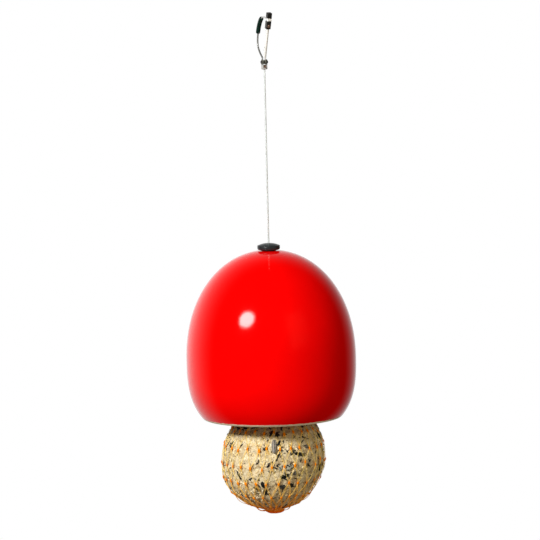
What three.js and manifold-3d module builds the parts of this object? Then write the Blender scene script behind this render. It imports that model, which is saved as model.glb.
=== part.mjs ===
// A hanging feeder for one netted fat ball: a spring clip, a wire rope, a ceramic dome and the ball.
// Millimetres, +Z up. The origin is the inside of the clip's top bend, where the feeder hangs.
// The clip lies in the XZ plane with its latch arm on the +X side, and the rope hangs down the Z axis.
import * as THREE from "three";
import { mergeVertices } from "three/addons/utils/BufferGeometryUtils.js";
import Module from "manifold-3d";

const wasm = await Module();
wasm.setup();

// Gaps between pieces
const seatGap = 0.3; // between two pieces that bear on each other
const runGap = 0.25; // around a pin, rope or wire in its hole
const cutPast = 1; // how far a cut runs past the face it opens

// Hanging clip
const clipDrop = 25.7; // from the hanging point down to the hinge rivet
const frameWire = 1; // thickness of the frame's spring wire
const legReach = 8.5; // how far the frame's leg bows out from the rope
const legWaist = 14.5; // depth of that widest place under the hanging point
const footLean = 45; // degrees that the leg leaves the base at
const noseDrop = 1.3; // how far the nose lies under the top bend
const noseStraight = 2.1; // straight wire before the middle of the latch head
const legPull = 0.45; // fullness of the leg's bow, as a share of its reach
const shoulderPull = 0.48; // fullness of the bend over the top
const latchLean = 16.4; // degrees that the closed latch arm leans outward
const armRod = 1.7; // thickness of the latch arm
const headWidth = 2.7; // latch head, across the arm in the clip's plane
const headDepth = 2.8; // latch head, square to the clip's plane
const headAbove = 4.2; // latch head, above the nose
const headBelow = 5.6; // latch head, below the nose
const headWeb = 0.7; // wall that closes the head's slot
const headBore = 3.4; // depth of the arm's seat in the head
const headRound = 0.5; // rounding of the head's corners
const latchPin = 0.6; // rivet through head and arm
const latchPinRise = 1.9; // height of that rivet above the head's lower end
const hingePin = 1; // rivet that carries the frame's foot and the arm
const eyeWall = 0.5; // metal around that rivet in the flattened eyes
const eyeThick = 0.8; // thickness of the flattened eyes
const eyeLap = 2.2; // how far an eye's tab runs into its wire
const tabShare = 0.84; // width of that tab as a share of its wire
const rivetHeadWall = 0.35; // how far the hinge rivet's head reaches past its shank
const latchHeadWall = 0.7; // how far the latch rivet's head reaches past its shank
const rivetHeadHeight = 0.35;
const baseDiameter = 3.6;
const baseFloor = 1; // floor of the base that the rope's ball rests on
const baseRound = 0.45;
const sleeveLength = 11;
const sleeveWall = 0.55;
const sleeveSetBack = 2.3; // from the hanging point to the sleeve's upper end

// Wire rope
const ropeWire = 1; // rope diameter
const ropeBall = 2.1; // ball swaged on the rope's top end
const ropeSwing = 22; // degrees that the rope can lean in the base's flared hole
const ropeFree = 102.1; // from the clip's base down to the grommet
const ropeBelowStop = 6.2; // from the stop ferrule down to the eye ferrule
const stopDiameter = 3.4;
const stopLength = 6;
const eyeFerruleLength = 7;
const ferruleWall = 0.55;
const ropeWeb = 0.4; // metal between the two rope bores of the eye ferrule
const ropeTail = 0.6; // rope end that stands out above the eye ferrule
const ropeStraight = 1; // straight rope at the ends of a ferrule
const eyeRadius = 4; // bend of the rope's lower eye
const eyeDrop = 11; // from the eye ferrule down to the eye's centre

// Grommet and washer
const capDiameter = 13.4;
const capCrown = 1; // rise of the cap's domed top
const capFullness = 2.4; // how flat that top is, 2 is a parabola
const capSide = 2.2; // upright side of the cap
const capUndercut = 0.5; // bevel under the cap
const flangeDiameter = 11;
const flangeHeight = 2.5;
const flangeBevel = 0.9;
const washerDiameter = 10;
const washerThick = 1;
const edgeBevel = 0.2; // broken edges of the washer and the stop ferrule

// Ceramic dome
const domeDiameter = 100;
const domeHeight = 99.2;
const domeShoulder = 64.2; // depth of the widest place under the top
const domeWall = 4.2;
const domeHole = 9;
const domeUpperPower = 2.1; // fullness of the upper curve, 2 is an ellipse
const domeLowerPower = 2.8; // fullness of the lower curve
const rimDiameter = 81.53; // outer diameter at the open rim
const rimRound = 1.3; // rounding of the rim's two edges

// Ball hook
const hookWire = 1.8;
const hookEye = 3.2; // bend radius of the closed upper end
const hookBend = 4.2; // bend radius of the open lower end
const hookLength = 14; // between the centres of the two bends
const hookTip = 20; // degrees that the open tip rises past the level of its centre
const hookEyeEnd = -85; // degrees where the closed end stops, 0 is level with its centre
const hookPull = 0.43; // fullness of the S, as a share of the hook's length

// Fat ball in its net
const ballDiameter = 59.6;
const ballUpper = 30.4; // from the ball's widest place up to its top
const ballLower = 28.6; // from there down to its foot
const ballUpperPower = 2.25; // fullness of the ball's upper half, 2 is an ellipse
const ballLowerPower = 2; // fullness of its lower half
const ballBelowRim = 25.5; // from the dome's rim down to the ball's widest place
const netColumns = 28;
const netRowsAbove = 3; // rows of knots above the one at the ball's widest place
const netRowsBelow = 4; // rows of knots below that one
const netRowsToFoot = 4.6; // row spacings from the widest place down to the ball's foot
const netLift = 1; // from the ball's surface to the middle of a knot
const netThick = 0.5;
const netTape = 0.5; // half width of a knot
const netKnot = 0.85; // half height of a knot
const netKnotShare = 0.6; // largest share of the space between two columns that a knot takes
const netShoulder = 12.4; // from the ball's top up to the net's clip
const neckCord = 2.4; // one leg of the net's drawn-out loop
const neckRing = 3.6; // radius of the net where it leaves the clip
const netClipHeight = 4;
const netClipWall = 0.6;
const gatherDiameter = 12.4; // the gathered net under the ball, at its upper face
const gatherHeight = 1.7;
const gatherFoot = 0.68; // its lower face, as a share of its diameter
const gatherEdge = 0.3; // height of its upright edge, as a share of its height

// How finely round pieces are cut
const wireSides = 10;
const ropeSides = 8;
const ropeSteps = 66;
const frameSteps = 32;
const sleeveSteps = 10;
const hookSteps = 40;
const neckSteps = 28;
const pinSides = 12;
const smallTurn = 24;
const domeTurn = 40;
const ballTurn = 28;

const radians = THREE.MathUtils.degToRad;
const at = (x, y, z) => new THREE.Vector3(x, y, z);
const inXZ = (x, z) => at(x, 0, z);
const inYZ = (y, z) => at(0, y, z);

// Closed solid of a geometry, for joining and cutting
function solidOf(geometry) {
  const bare = geometry.clone();
  bare.deleteAttribute("normal");
  bare.deleteAttribute("uv");
  const merged = mergeVertices(bare, 1e-4);
  const mesh = new wasm.Mesh({
    numProp: 3,
    vertProperties: merged.attributes.position.array,
    triVerts: new Uint32Array(merged.index.array),
  });
  return new wasm.Manifold(mesh);
}

function geometryOf(solid) {
  const mesh = solid.getMesh();
  const geometry = new THREE.BufferGeometry();
  geometry.setAttribute("position", new THREE.BufferAttribute(mesh.vertProperties, 3));
  geometry.setIndex(new THREE.BufferAttribute(mesh.triVerts, 1));
  geometry.computeVertexNormals();
  return geometry;
}

function join(first, ...others) {
  return geometryOf(others.reduce((sum, next) => sum.add(solidOf(next)), solidOf(first)));
}

function cut(first, ...tools) {
  return geometryOf(tools.reduce((left, tool) => left.subtract(solidOf(tool)), solidOf(first)));
}

// A closed outline of radius and height pairs, turned about Z
function turned(outline, sides) {
  const points = outline.map(([radius, height]) => new THREE.Vector2(radius, height));
  const loop = THREE.ShapeUtils.area(points) < 0 ? points.reverse() : points;
  const geometry = new THREE.LatheGeometry([...loop, loop[0].clone()], sides);
  return geometry.rotateX(Math.PI / 2);
}

function regularShape(radius, sides) {
  const points = [];
  for (let i = 0; i < sides; i++) {
    const angle = (2 * Math.PI * i) / sides;
    points.push(new THREE.Vector2(radius * Math.cos(angle), radius * Math.sin(angle)));
  }
  return new THREE.Shape(points);
}

// A round wire or tube along a curve
function swept(curve, radius, sides, steps, bore = 0) {
  const section = regularShape(radius, sides);
  if (bore) section.holes.push(regularShape(bore, sides));
  return new THREE.ExtrudeGeometry(section, { extrudePath: curve, steps });
}

// A flat shape drawn in X and Z, made thick along Y around its middle
function plateXZ(shape, thick, curveSegments = 6) {
  const geometry = new THREE.ExtrudeGeometry(shape, { depth: thick, bevelEnabled: false, curveSegments });
  return geometry.translate(0, 0, -thick / 2).rotateX(Math.PI / 2);
}

// A flat shape drawn in X and Y, made tall along Z from a lower level
function plateXY(shape, low, height, curveSegments = 8) {
  const geometry = new THREE.ExtrudeGeometry(shape, { depth: height, bevelEnabled: false, curveSegments });
  return geometry.translate(0, 0, low);
}

// A round bar along Y
function pinY(radius, length) {
  return new THREE.CylinderGeometry(radius, radius, length, pinSides);
}

// A slot shape with round ends, centred, long along X
function slotShape(halfPitch, radius) {
  const shape = new THREE.Shape();
  shape.absarc(halfPitch, 0, radius, -Math.PI / 2, Math.PI / 2, false);
  shape.absarc(-halfPitch, 0, radius, Math.PI / 2, (3 * Math.PI) / 2, false);
  shape.closePath();
  return shape;
}

// A circular arc in the plane of two axes
class PlaneArc extends THREE.Curve {
  constructor(centre, radius, fromDegrees, toDegrees, across) {
    super();
    Object.assign(this, { centre, radius, across });
    this.from = radians(fromDegrees);
    this.turn = radians(toDegrees) - this.from;
  }
  getPoint(t, target = new THREE.Vector3()) {
    const angle = this.from + this.turn * t;
    target.copy(this.centre).addScaledVector(this.across, this.radius * Math.cos(angle));
    target.z += this.radius * Math.sin(angle);
    return target;
  }
}

function chain(...curves) {
  const path = new THREE.CurvePath();
  curves.forEach((curve) => path.add(curve));
  return path;
}

const line = (from, to) => new THREE.LineCurve3(from, to);
const bend = (from, first, second, to) => new THREE.CubicBezierCurve3(from, first, second, to);

// Heights of the clip's base
const hingeZ = -clipDrop;
const pinEye = hingePin / 2 + runGap + eyeWall;
const forkSlot = 2 * eyeThick + 3 * seatGap;
const ballSeatDrop = ropeBall / 2 - seatGap;
const ropeBallZ = hingeZ - pinEye - runGap - ropeBall / 2;
const floorTop = ropeBallZ - ballSeatDrop;
const baseBottom = floorTop - baseFloor;
const baseTop = hingeZ + pinEye + runGap;

// Room that the leaning rope needs in the base, at a depth under its ball's centre
function flareRadius(depth) {
  const lean = radians(ropeSwing);
  return ropeWire / 2 / Math.cos(lean) + depth * Math.tan(lean);
}

function clipBase() {
  const radius = baseDiameter / 2;
  const flareTop = flareRadius(ballSeatDrop);
  const roundTop = baseBottom + baseRound;
  const core = turned(
    [
      [flareRadius(ballSeatDrop + baseFloor), baseBottom],
      ...roundedCorner([radius - baseRound, baseBottom], [radius, baseBottom], [radius, roundTop]),
      [radius, baseTop],
      [0, baseTop],
      [0, floorTop + seatGap],
      [flareTop, floorTop + seatGap],
      [flareTop, floorTop],
    ],
    smallTurn,
  );
  const slotHeight = baseTop - floorTop + cutPast;
  const slot = new THREE.BoxGeometry(baseDiameter + 2 * cutPast, forkSlot, slotHeight);
  slot.translate(0, 0, floorTop + slotHeight / 2);
  const pinHole = pinY(hingePin / 2 + runGap, baseDiameter + 2 * cutPast).translate(0, 0, hingeZ);
  return cut(core, slot, pinHole);
}

// A rivet along Y with a flat head at both ends, over a piece of this width
function rivet(diameter, width, headWall) {
  const shank = diameter / 2;
  const head = shank + headWall;
  const inner = width / 2 + runGap / 2;
  const outer = inner + rivetHeadHeight;
  const outline = [
    [0, -outer],
    [head - rivetHeadHeight / 2, -outer],
    [head, -inner - rivetHeadHeight / 2],
    [head, -inner],
    [shank, -inner],
    [shank, inner],
    [head, inner],
    [head, inner + rivetHeadHeight / 2],
    [head - rivetHeadHeight / 2, outer],
    [0, outer],
  ];
  return turned(outline, pinSides).rotateX(Math.PI / 2);
}

// A flattened wire end with its eye, the tab pointing up
function wireEye(tabHalf, tabLength) {
  const shoulder = Math.acos(tabHalf / pinEye);
  const shape = new THREE.Shape();
  shape.moveTo(tabHalf, tabLength);
  shape.lineTo(-tabHalf, tabLength);
  shape.absarc(0, 0, pinEye, Math.PI - shoulder, 2 * Math.PI + shoulder, false);
  shape.closePath();
  const hole = new THREE.Path();
  hole.absarc(0, 0, hingePin / 2 + runGap, 0, 2 * Math.PI, true);
  shape.holes.push(hole);
  return plateXZ(shape, eyeThick);
}

const eyeOffset = (eyeThick + seatGap) / 2;
const wireStart = pinEye + 2 * runGap;
const eyeTab = wireStart + eyeLap;

// Where the nose lies, and the way it points, square to the closed arm
const lean = radians(latchLean);
const armReach = (clipDrop + frameWire / 2 - noseDrop) / Math.cos(lean);
const noseAim = at(Math.cos(lean), 0, -Math.sin(lean));
const nose = at(armReach * Math.sin(lean), 0, hingeZ + armReach * Math.cos(lean));

// The frame's wire: out of the base, round the bowed leg, over the top and into the latch head
function framePath() {
  const foot = radians(footLean);
  const start = at(-wireStart * Math.sin(foot), 0, hingeZ + wireStart * Math.cos(foot));
  const waist = at(-legReach, 0, -legWaist);
  const top = at(0, 0, frameWire / 2);
  const rise = waist.z - start.z;
  const reach = legReach + start.x;
  const leg = bend(
    start,
    at(start.x - reach * legPull, 0, start.z + (reach * legPull) / Math.tan(foot)),
    at(waist.x, 0, waist.z - rise * legPull),
    waist,
  );
  const shoulder = bend(
    waist,
    at(waist.x, 0, waist.z + (top.z - waist.z) * shoulderPull),
    at(-legReach * shoulderPull, 0, top.z),
    top,
  );
  const root = nose.clone().addScaledVector(noseAim, -noseStraight);
  const corner = root.clone().addScaledVector(noseAim, (root.z - top.z) / Math.sin(lean));
  const over = new THREE.QuadraticBezierCurve3(top, corner, root);
  const tip = nose.clone().addScaledVector(noseAim, headWidth / 2 - headWeb - seatGap);
  const toTop = leg.getLength() + shoulder.getLength();
  return { curves: [leg, shoulder, over, line(root, tip)], toTop };
}

const frame = framePath();
const frameCurve = chain(...frame.curves);

function clipFrame() {
  const wire = swept(frameCurve, frameWire / 2, wireSides, frameSteps);
  const eye = wireEye((frameWire * tabShare) / 2, eyeTab).rotateY(-radians(footLean));
  return join(wire, eye.translate(0, -eyeOffset, hingeZ));
}

// The sleeve follows the wire's shoulder just before the hanging point
function branchSleeve() {
  const whole = frameCurve.getLength();
  const far = frame.toTop - sleeveSetBack;
  const count = 9;
  const points = [];
  for (let i = 0; i < count; i++) {
    const along = far - sleeveLength + (sleeveLength * i) / (count - 1);
    points.push(frameCurve.getPointAt(along / whole));
  }
  const bore = frameWire / 2 + runGap;
  return swept(new THREE.CatmullRomCurve3(points), bore + sleeveWall, wireSides, sleeveSteps, bore);
}

// Latch pieces, in the arm's own frame: hinge at the origin, arm up Z
const headLow = armReach - headBelow;

// The rivet's hole lies along X, so that its head faces outward
function latchPinHole() {
  const hole = pinY(latchPin / 2 + runGap / 2, headWidth + 2 * cutPast);
  return hole.rotateZ(Math.PI / 2).translate(0, 0, headLow + latchPinRise);
}

function latchArm() {
  const end = headLow + headBore - seatGap;
  const rod = new THREE.CylinderGeometry(armRod / 2, armRod / 2, end - wireStart, pinSides);
  rod.rotateX(Math.PI / 2).translate(0, 0, (end + wireStart) / 2);
  const eye = wireEye((armRod * tabShare) / 2, eyeTab).translate(0, eyeOffset, 0);
  return cut(join(rod, eye), latchPinHole());
}

function latchHead() {
  const right = headWidth / 2;
  const top = armReach + headAbove;
  const slotHalf = frameWire / 2 + seatGap;
  const slotEnd = right - headWeb;
  const shape = new THREE.Shape();
  shape.moveTo(-right + headRound, headLow);
  shape.lineTo(right - headRound, headLow);
  shape.quadraticCurveTo(right, headLow, right, headLow + headRound);
  shape.lineTo(right, top - headRound);
  shape.quadraticCurveTo(right, top, right - headRound, top);
  shape.lineTo(-right + headRound, top);
  shape.quadraticCurveTo(-right, top, -right, top - headRound);
  shape.lineTo(-right, armReach + slotHalf);
  shape.lineTo(slotEnd, armReach + slotHalf);
  shape.lineTo(slotEnd, armReach - slotHalf);
  shape.lineTo(-right, armReach - slotHalf);
  shape.lineTo(-right, headLow + headRound);
  shape.quadraticCurveTo(-right, headLow, -right + headRound, headLow);
  const block = plateXZ(shape, headDepth);
  const seatRadius = armRod / 2 + runGap;
  const seat = new THREE.CylinderGeometry(seatRadius, seatRadius, 2 * headBore, pinSides);
  seat.rotateX(Math.PI / 2).translate(0, 0, headLow);
  return cut(block, seat, latchPinHole());
}

// Swaged ball with the rope's bore through it
function ropeEndBall() {
  const radius = ropeBall / 2;
  const bore = ropeWire / 2 + runGap;
  const edge = Math.acos(bore / radius);
  const steps = 8;
  const outline = [];
  for (let i = 0; i <= steps; i++) {
    const angle = -edge + (2 * edge * i) / steps;
    outline.push([radius * Math.cos(angle), radius * Math.sin(angle)]);
  }
  return turned(outline, smallTurn);
}

// Heights down the rope
const grommetTop = baseBottom - ropeFree;
const capBottom = grommetTop - capCrown - capSide - capUndercut;
const domeTop = capBottom - seatGap;

// Depth of the dome's outer face under its top, at a radius
function crownDepth(radius) {
  const share = 1 - Math.pow(radius / (domeDiameter / 2), domeUpperPower);
  return domeShoulder * (1 - Math.pow(share, 1 / domeUpperPower));
}

const flangeTop = domeTop - domeWall - 2 * crownDepth(flangeDiameter / 2) - seatGap;
const flangeBottom = flangeTop - flangeHeight;
const washerTop = flangeBottom - seatGap;
const washerLow = washerTop - washerThick;
const stopTop = washerLow - seatGap;
const stopBottom = stopTop - stopLength;
const ferruleTop = stopBottom - ropeBelowStop;
const ferruleBottom = ferruleTop - eyeFerruleLength;
const eyeZ = ferruleBottom - eyeDrop;
const ropeBore = ropeWire / 2 + runGap;
const legX = ropeBore + ropeWeb / 2;

function topGrommet() {
  const cap = capDiameter / 2;
  const stem = domeHole / 2 - seatGap;
  const flange = flangeDiameter / 2;
  const sideTop = grommetTop - capCrown;
  const outline = [[ropeBore, grommetTop]];
  const crownSteps = 5;
  for (let i = 1; i <= crownSteps; i++) {
    const radius = ropeBore + ((cap - ropeBore) * i) / crownSteps;
    const share = (radius - ropeBore) / (cap - ropeBore);
    outline.push([radius, sideTop + capCrown * (1 - Math.pow(share, capFullness))]);
  }
  outline.push(
    [cap, sideTop - capSide],
    [cap - capUndercut, capBottom],
    [stem, capBottom],
    [stem, flangeTop],
    [flange, flangeTop],
    [flange, flangeBottom + flangeBevel],
    [flange - flangeBevel, flangeBottom],
    [ropeBore, flangeBottom],
  );
  return turned(outline, smallTurn);
}

// Outer face of the dome as radius and depth pairs, from the hole down to the rim
function domeOuter() {
  const radius = domeDiameter / 2;
  const points = [];
  const upperSteps = 12;
  const first = Math.asin(Math.pow(domeHole / 2 / radius, domeUpperPower / 2));
  for (let i = 0; i <= upperSteps; i++) {
    const angle = first + ((Math.PI / 2 - first) * i) / upperSteps;
    const height = domeShoulder * Math.pow(Math.cos(angle), 2 / domeUpperPower);
    points.push([radius * Math.pow(Math.sin(angle), 2 / domeUpperPower), domeShoulder - height]);
  }
  const lowerSteps = 7;
  const drawnIn = 1 - Math.pow(rimDiameter / domeDiameter, domeLowerPower);
  const last = Math.asin(Math.sqrt(drawnIn));
  const reach = (domeHeight - domeShoulder) / Math.pow(drawnIn, 1 / domeLowerPower);
  for (let i = 1; i <= lowerSteps; i++) {
    const angle = (last * i) / lowerSteps;
    const drop = reach * Math.pow(Math.sin(angle), 2 / domeLowerPower);
    points.push([radius * Math.pow(Math.cos(angle), 2 / domeLowerPower), domeShoulder + drop]);
  }
  return points;
}

// Points of a rounded corner of an outline, both ends with it
function roundedCorner(...places) {
  const curve = new THREE.QuadraticBezierCurve(...places.map(([x, y]) => new THREE.Vector2(x, y)));
  return curve.getPoints(4).map((point) => [point.x, point.y]);
}

function domeShell() {
  const outer = domeOuter();
  const inner = [];
  for (let i = 1; i < outer.length - 1; i++) {
    const [r0, d0] = outer[i - 1];
    const [r1, d1] = outer[i + 1];
    const length = Math.hypot(r1 - r0, d1 - d0);
    const radius = outer[i][0] - (domeWall * (d1 - d0)) / length;
    const depth = outer[i][1] + (domeWall * (r1 - r0)) / length;
    const clearOfHole = radius > domeHole / 2 + seatGap;
    if (clearOfHole && depth < domeHeight - 2 * rimRound) inner.push([radius, depth]);
  }
  const rim = outer[outer.length - 1][0];
  const [[r0, d0], [r1, d1]] = inner.slice(-2);
  const lip = r1 + ((r1 - r0) * (domeHeight - d1)) / (d1 - d0);
  const body = outer.filter(([, depth]) => depth < domeHeight - rimRound);
  const outline = [
    ...body.slice(0, -1),
    ...roundedCorner(body[body.length - 1], [rim, domeHeight], [rim - rimRound, domeHeight]),
    ...roundedCorner([lip + 2 * rimRound, domeHeight], [lip, domeHeight], [r1, d1]),
    ...inner.slice(0, -1).reverse(),
    [domeHole / 2, domeWall],
  ].map(([radius, depth]) => [radius, -depth]);
  return turned(outline, domeTurn);
}

// A plain round sleeve or washer
function ring(outer, inner, low, high) {
  const bevel = edgeBevel;
  const outline = [
    [inner, low],
    [outer - bevel, low],
    [outer, low + bevel],
    [outer, high - bevel],
    [outer - bevel, high],
    [inner, high],
  ];
  return turned(outline, smallTurn);
}

// The rope: from its ball straight down, aside into the eye ferrule, round the eye and back up
function hangingRope() {
  const jogStart = stopBottom - ropeStraight;
  const jogMiddle = (jogStart + ferruleTop) / 2;
  const openEnd = ferruleBottom - ropeStraight;
  const halfDrop = (openEnd - eyeZ) / 2;
  const main = [inXZ(0, jogStart), inXZ(0, jogMiddle), inXZ(-legX, jogMiddle), inXZ(-legX, ferruleTop)];
  const side = (way) => [
    inXZ(way * legX, openEnd),
    inXZ(way * legX, openEnd - halfDrop),
    inXZ(way * eyeRadius, eyeZ + halfDrop),
    inXZ(way * eyeRadius, eyeZ),
  ];
  const path = chain(
    line(inXZ(0, ropeBallZ + ropeBall / 2), inXZ(0, jogStart)),
    bend(...main),
    line(inXZ(-legX, ferruleTop), inXZ(-legX, openEnd)),
    bend(...side(-1)),
    new PlaneArc(inXZ(0, eyeZ), eyeRadius, 180, 360, inXZ(1, 0)),
    bend(...side(1).reverse()),
    line(inXZ(legX, openEnd), inXZ(legX, ferruleTop + ropeTail)),
  );
  return swept(path, ropeWire / 2, ropeSides, ropeSteps);
}

function eyeFerrule() {
  const shape = slotShape(legX, ropeBore + ferruleWall);
  for (const side of [-1, 1]) {
    const bore = new THREE.Path();
    bore.absarc(side * legX, 0, ropeBore, 0, 2 * Math.PI, true);
    shape.holes.push(bore);
  }
  return plateXY(shape, ferruleBottom, eyeFerruleLength);
}

// The hook hangs with its closed end on the rope's eye
const ropeEyeLow = eyeZ - eyeRadius;
const hookEyeZ = ropeEyeLow + ropeWire / 2 + seatGap + hookWire / 2 - hookEye;
const hookBendZ = hookEyeZ - hookLength;
const hookLow = hookBendZ - hookBend;

function ballHook() {
  const pull = hookLength * hookPull;
  const across = inYZ(1, 0);
  const middle = [
    inYZ(-hookEye, hookEyeZ),
    inYZ(-hookEye, hookEyeZ - pull),
    inYZ(hookBend, hookBendZ + pull),
    inYZ(hookBend, hookBendZ),
  ];
  const path = chain(
    new PlaneArc(inYZ(0, hookEyeZ), hookEye, hookEyeEnd, 180, across),
    bend(...middle),
    new PlaneArc(inYZ(0, hookBendZ), hookBend, 0, -180 - hookTip, across),
  );
  return swept(path, hookWire / 2, wireSides, hookSteps);
}

// Heights of the ball and its net
const rimZ = domeTop - domeHeight;
const ballZ = rimZ - ballBelowRim;
const ballTop = ballZ + ballUpper;
const ballLow = ballZ - ballLower;
const netClipLow = ballTop + netShoulder;
const netClipTop = netClipLow + netClipHeight;
const neckHalf = (neckCord + seatGap) / 2;
const netCollarZ = netClipLow - netKnot - seatGap;

// Outline of the ball at a latitude, pushed out by a lift
function ballPoint(latitude, lift) {
  const angle = radians(latitude);
  const reach = latitude > 0 ? ballUpper : -ballLower;
  const power = 2 / (latitude > 0 ? ballUpperPower : ballLowerPower);
  const radius = (ballDiameter / 2) * Math.pow(Math.cos(angle), power);
  const height = reach * Math.pow(Math.abs(Math.sin(angle)), power);
  const stretch = 1 + lift / Math.hypot(radius, height);
  return [radius * stretch, height * stretch];
}

function fatBall() {
  const steps = 16;
  const outline = [];
  for (let i = 0; i <= steps; i++) {
    const latitude = -90 + (180 * i) / steps;
    const [radius, height] = ballPoint(latitude, 0);
    outline.push([i === 0 || i === steps ? 0 : radius, height]);
  }
  return turned(outline, ballTurn);
}

// The net's tail, drawn through its clip and folded over the hook
function netNeck() {
  const fold = hookWire / 2 + seatGap + neckCord / 2;
  const low = netCollarZ - netKnot;
  const half = (hookLow - netClipTop) / 2;
  const side = (way) => [
    inXZ(way * neckHalf, netClipTop),
    inXZ(way * neckHalf, netClipTop + half),
    inXZ(way * fold, hookLow - half),
    inXZ(way * fold, hookLow),
  ];
  const path = chain(
    line(inXZ(-neckHalf, low), inXZ(-neckHalf, netClipTop)),
    bend(...side(-1)),
    new PlaneArc(inXZ(0, hookLow), fold, 180, 0, inXZ(1, 0)),
    bend(...side(1).reverse()),
    line(inXZ(neckHalf, netClipTop), inXZ(neckHalf, low)),
  );
  return swept(path, neckCord / 2, ropeSides, neckSteps);
}

function netTopClip() {
  const inner = neckCord / 2 + seatGap;
  const shape = slotShape(neckHalf, inner + netClipWall);
  shape.holes.push(slotShape(neckHalf, inner));
  return plateXY(shape, netClipLow, netClipHeight);
}

// Latitudes in half degrees from the ball's widest place, with their distance along its surface
function ballWalk(way) {
  const walk = [[0, 0]];
  for (let latitude = 0.5; latitude <= 90; latitude += 0.5) {
    const [r0, h0] = ballPoint(way * (latitude - 0.5), 0);
    const [r1, h1] = ballPoint(way * latitude, 0);
    walk.push([way * latitude, walk[walk.length - 1][1] + Math.hypot(r1 - r0, h1 - h0)]);
  }
  return walk;
}

// Rows of knots as radius and height pairs, from the collar under the clip down to the gather
function netLevels() {
  const levels = [[neckRing, netCollarZ - ballZ]];
  const up = ballWalk(1);
  const down = ballWalk(-1);
  const spacing = down[down.length - 1][1] / netRowsToFoot;
  for (let row = netRowsAbove; row >= -netRowsBelow; row--) {
    const walk = row > 0 ? up : down;
    const [latitude] = walk.find(([, distance]) => distance >= Math.abs(row) * spacing);
    levels.push(ballPoint(latitude, netLift));
  }
  return levels;
}

// A bag of flat tapes between diamond knots, each knot joined to two above it and two below it
function netBag() {
  const levels = netLevels();
  const last = levels.length - 1;
  const corners = [];
  const places = [];
  const place = (point) => places.push(point.x, point.y, point.z) / 3 - 1;
  levels.forEach(([radius, height], row) => {
    const above = levels[Math.max(row - 1, 0)];
    const below = levels[Math.min(row + 1, last)];
    const slope = new THREE.Vector2(above[0] - below[0], above[1] - below[1]).normalize();
    const half = Math.min(netTape, (netKnotShare * Math.PI * radius) / netColumns);
    for (let column = 0; column < netColumns; column++) {
      const angle = (2 * Math.PI * (column + (row % 2) / 2)) / netColumns;
      const out = at(Math.cos(angle), Math.sin(angle), 0);
      const east = at(-Math.sin(angle), Math.cos(angle), 0);
      const north = out.clone().multiplyScalar(slope.x).add(at(0, 0, slope.y));
      const skin = east.clone().cross(north).multiplyScalar(netThick / 2);
      const middle = out.clone().multiplyScalar(radius).add(at(0, 0, height));
      const corner = (a, b, side) => {
        const point = middle.clone().addScaledVector(east, a * half);
        return place(point.addScaledVector(north, b * netKnot).addScaledVector(skin, side));
      };
      const knot = {};
      for (const [name, a, b] of [["n", 0, 1], ["e", 1, 0], ["s", 0, -1], ["w", -1, 0]]) {
        knot[name] = [corner(a, b, 1), corner(a, b, -1)];
      }
      corners.push(knot);
    }
  });
  const knotAt = (row, column) => corners[row * netColumns + ((column + netColumns) % netColumns)];
  const faces = [];
  const quad = (a, b, c, d) => faces.push(a, b, c, a, c, d);
  // A tape between an upper pair of corners, right then left, and a lower pair, left then right
  const tape = (ur, ul, ll, lr) => {
    quad(ur[0], ul[0], ll[0], lr[0]);
    quad(ur[1], lr[1], ll[1], ul[1]);
    quad(ur[0], lr[0], lr[1], ur[1]);
    quad(ll[0], ul[0], ul[1], ll[1]);
  };
  const end = (a, b) => quad(a[0], b[0], b[1], a[1]);
  for (let row = 0; row <= last; row++) {
    for (let column = 0; column < netColumns; column++) {
      const { n, e, s, w } = knotAt(row, column);
      quad(n[0], w[0], s[0], e[0]);
      quad(n[1], e[1], s[1], w[1]);
      if (row === 0) {
        end(n, e);
        end(w, n);
      }
      if (row === last) {
        end(e, s);
        end(s, w);
        continue;
      }
      const right = knotAt(row + 1, column + (row % 2));
      const left = knotAt(row + 1, column + (row % 2) - 1);
      tape(e, s, right.w, right.n);
      tape(s, w, left.n, left.e);
    }
  }
  const geometry = new THREE.BufferGeometry();
  geometry.setAttribute("position", new THREE.Float32BufferAttribute(places, 3));
  geometry.setIndex(faces);
  geometry.computeVertexNormals();
  return geometry;
}

// The net's lower end, drawn together into a flat tuft just under the net's last row
function netBottomGather() {
  const radius = gatherDiameter / 2;
  const high = ballLow - netLift - netThick / 2;
  const low = high - gatherHeight;
  const edge = high - gatherHeight * gatherEdge;
  const outline = [
    [0, high],
    [radius, high],
    ...roundedCorner([radius, edge], [radius * gatherFoot, edge], [radius * gatherFoot, low]),
    [0, low],
  ];
  return turned(outline, smallTurn);
}

const finishes = {
  polishedSteel: { color: 0xb9bbb8, roughness: 0.22, metalness: 1 },
  darkSteel: { color: 0x3b3a36, roughness: 0.35, metalness: 1 },
  copper: { color: 0x9a7263, roughness: 0.35, metalness: 1 },
  greenSleeve: { color: 0x0b2f26, roughness: 0.45, metalness: 0 },
  wireRope: { color: 0xc9c6bd, roughness: 0.4, metalness: 0.9 },
  aluminium: { color: 0xa9abad, roughness: 0.4, metalness: 1 },
  greyRubber: { color: 0x323c3e, roughness: 0.55, metalness: 0 },
  redGlaze: { color: 0xe80a06, roughness: 0.06, metalness: 0 },
  fatAndSeeds: { color: 0xc9b48c, roughness: 0.85, metalness: 0 },
  orangeNet: { color: 0xe07a1c, roughness: 0.6, metalness: 0 },
};

function piece(name, geometry, finish) {
  const mesh = new THREE.Mesh(geometry, new THREE.MeshStandardMaterial(finishes[finish]));
  mesh.name = name;
  return mesh;
}

const feeder = new THREE.Group();

const clip = new THREE.Group();
clip.add(
  piece("clip_base", clipBase(), "polishedSteel"),
  piece("clip_frame", clipFrame(), "polishedSteel"),
  piece("branch_sleeve", branchSleeve(), "greenSleeve"),
);
const hingeRivet = piece("hinge_rivet", rivet(hingePin, baseDiameter, rivetHeadWall), "darkSteel");
hingeRivet.position.z = hingeZ;
clip.add(hingeRivet);

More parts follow.
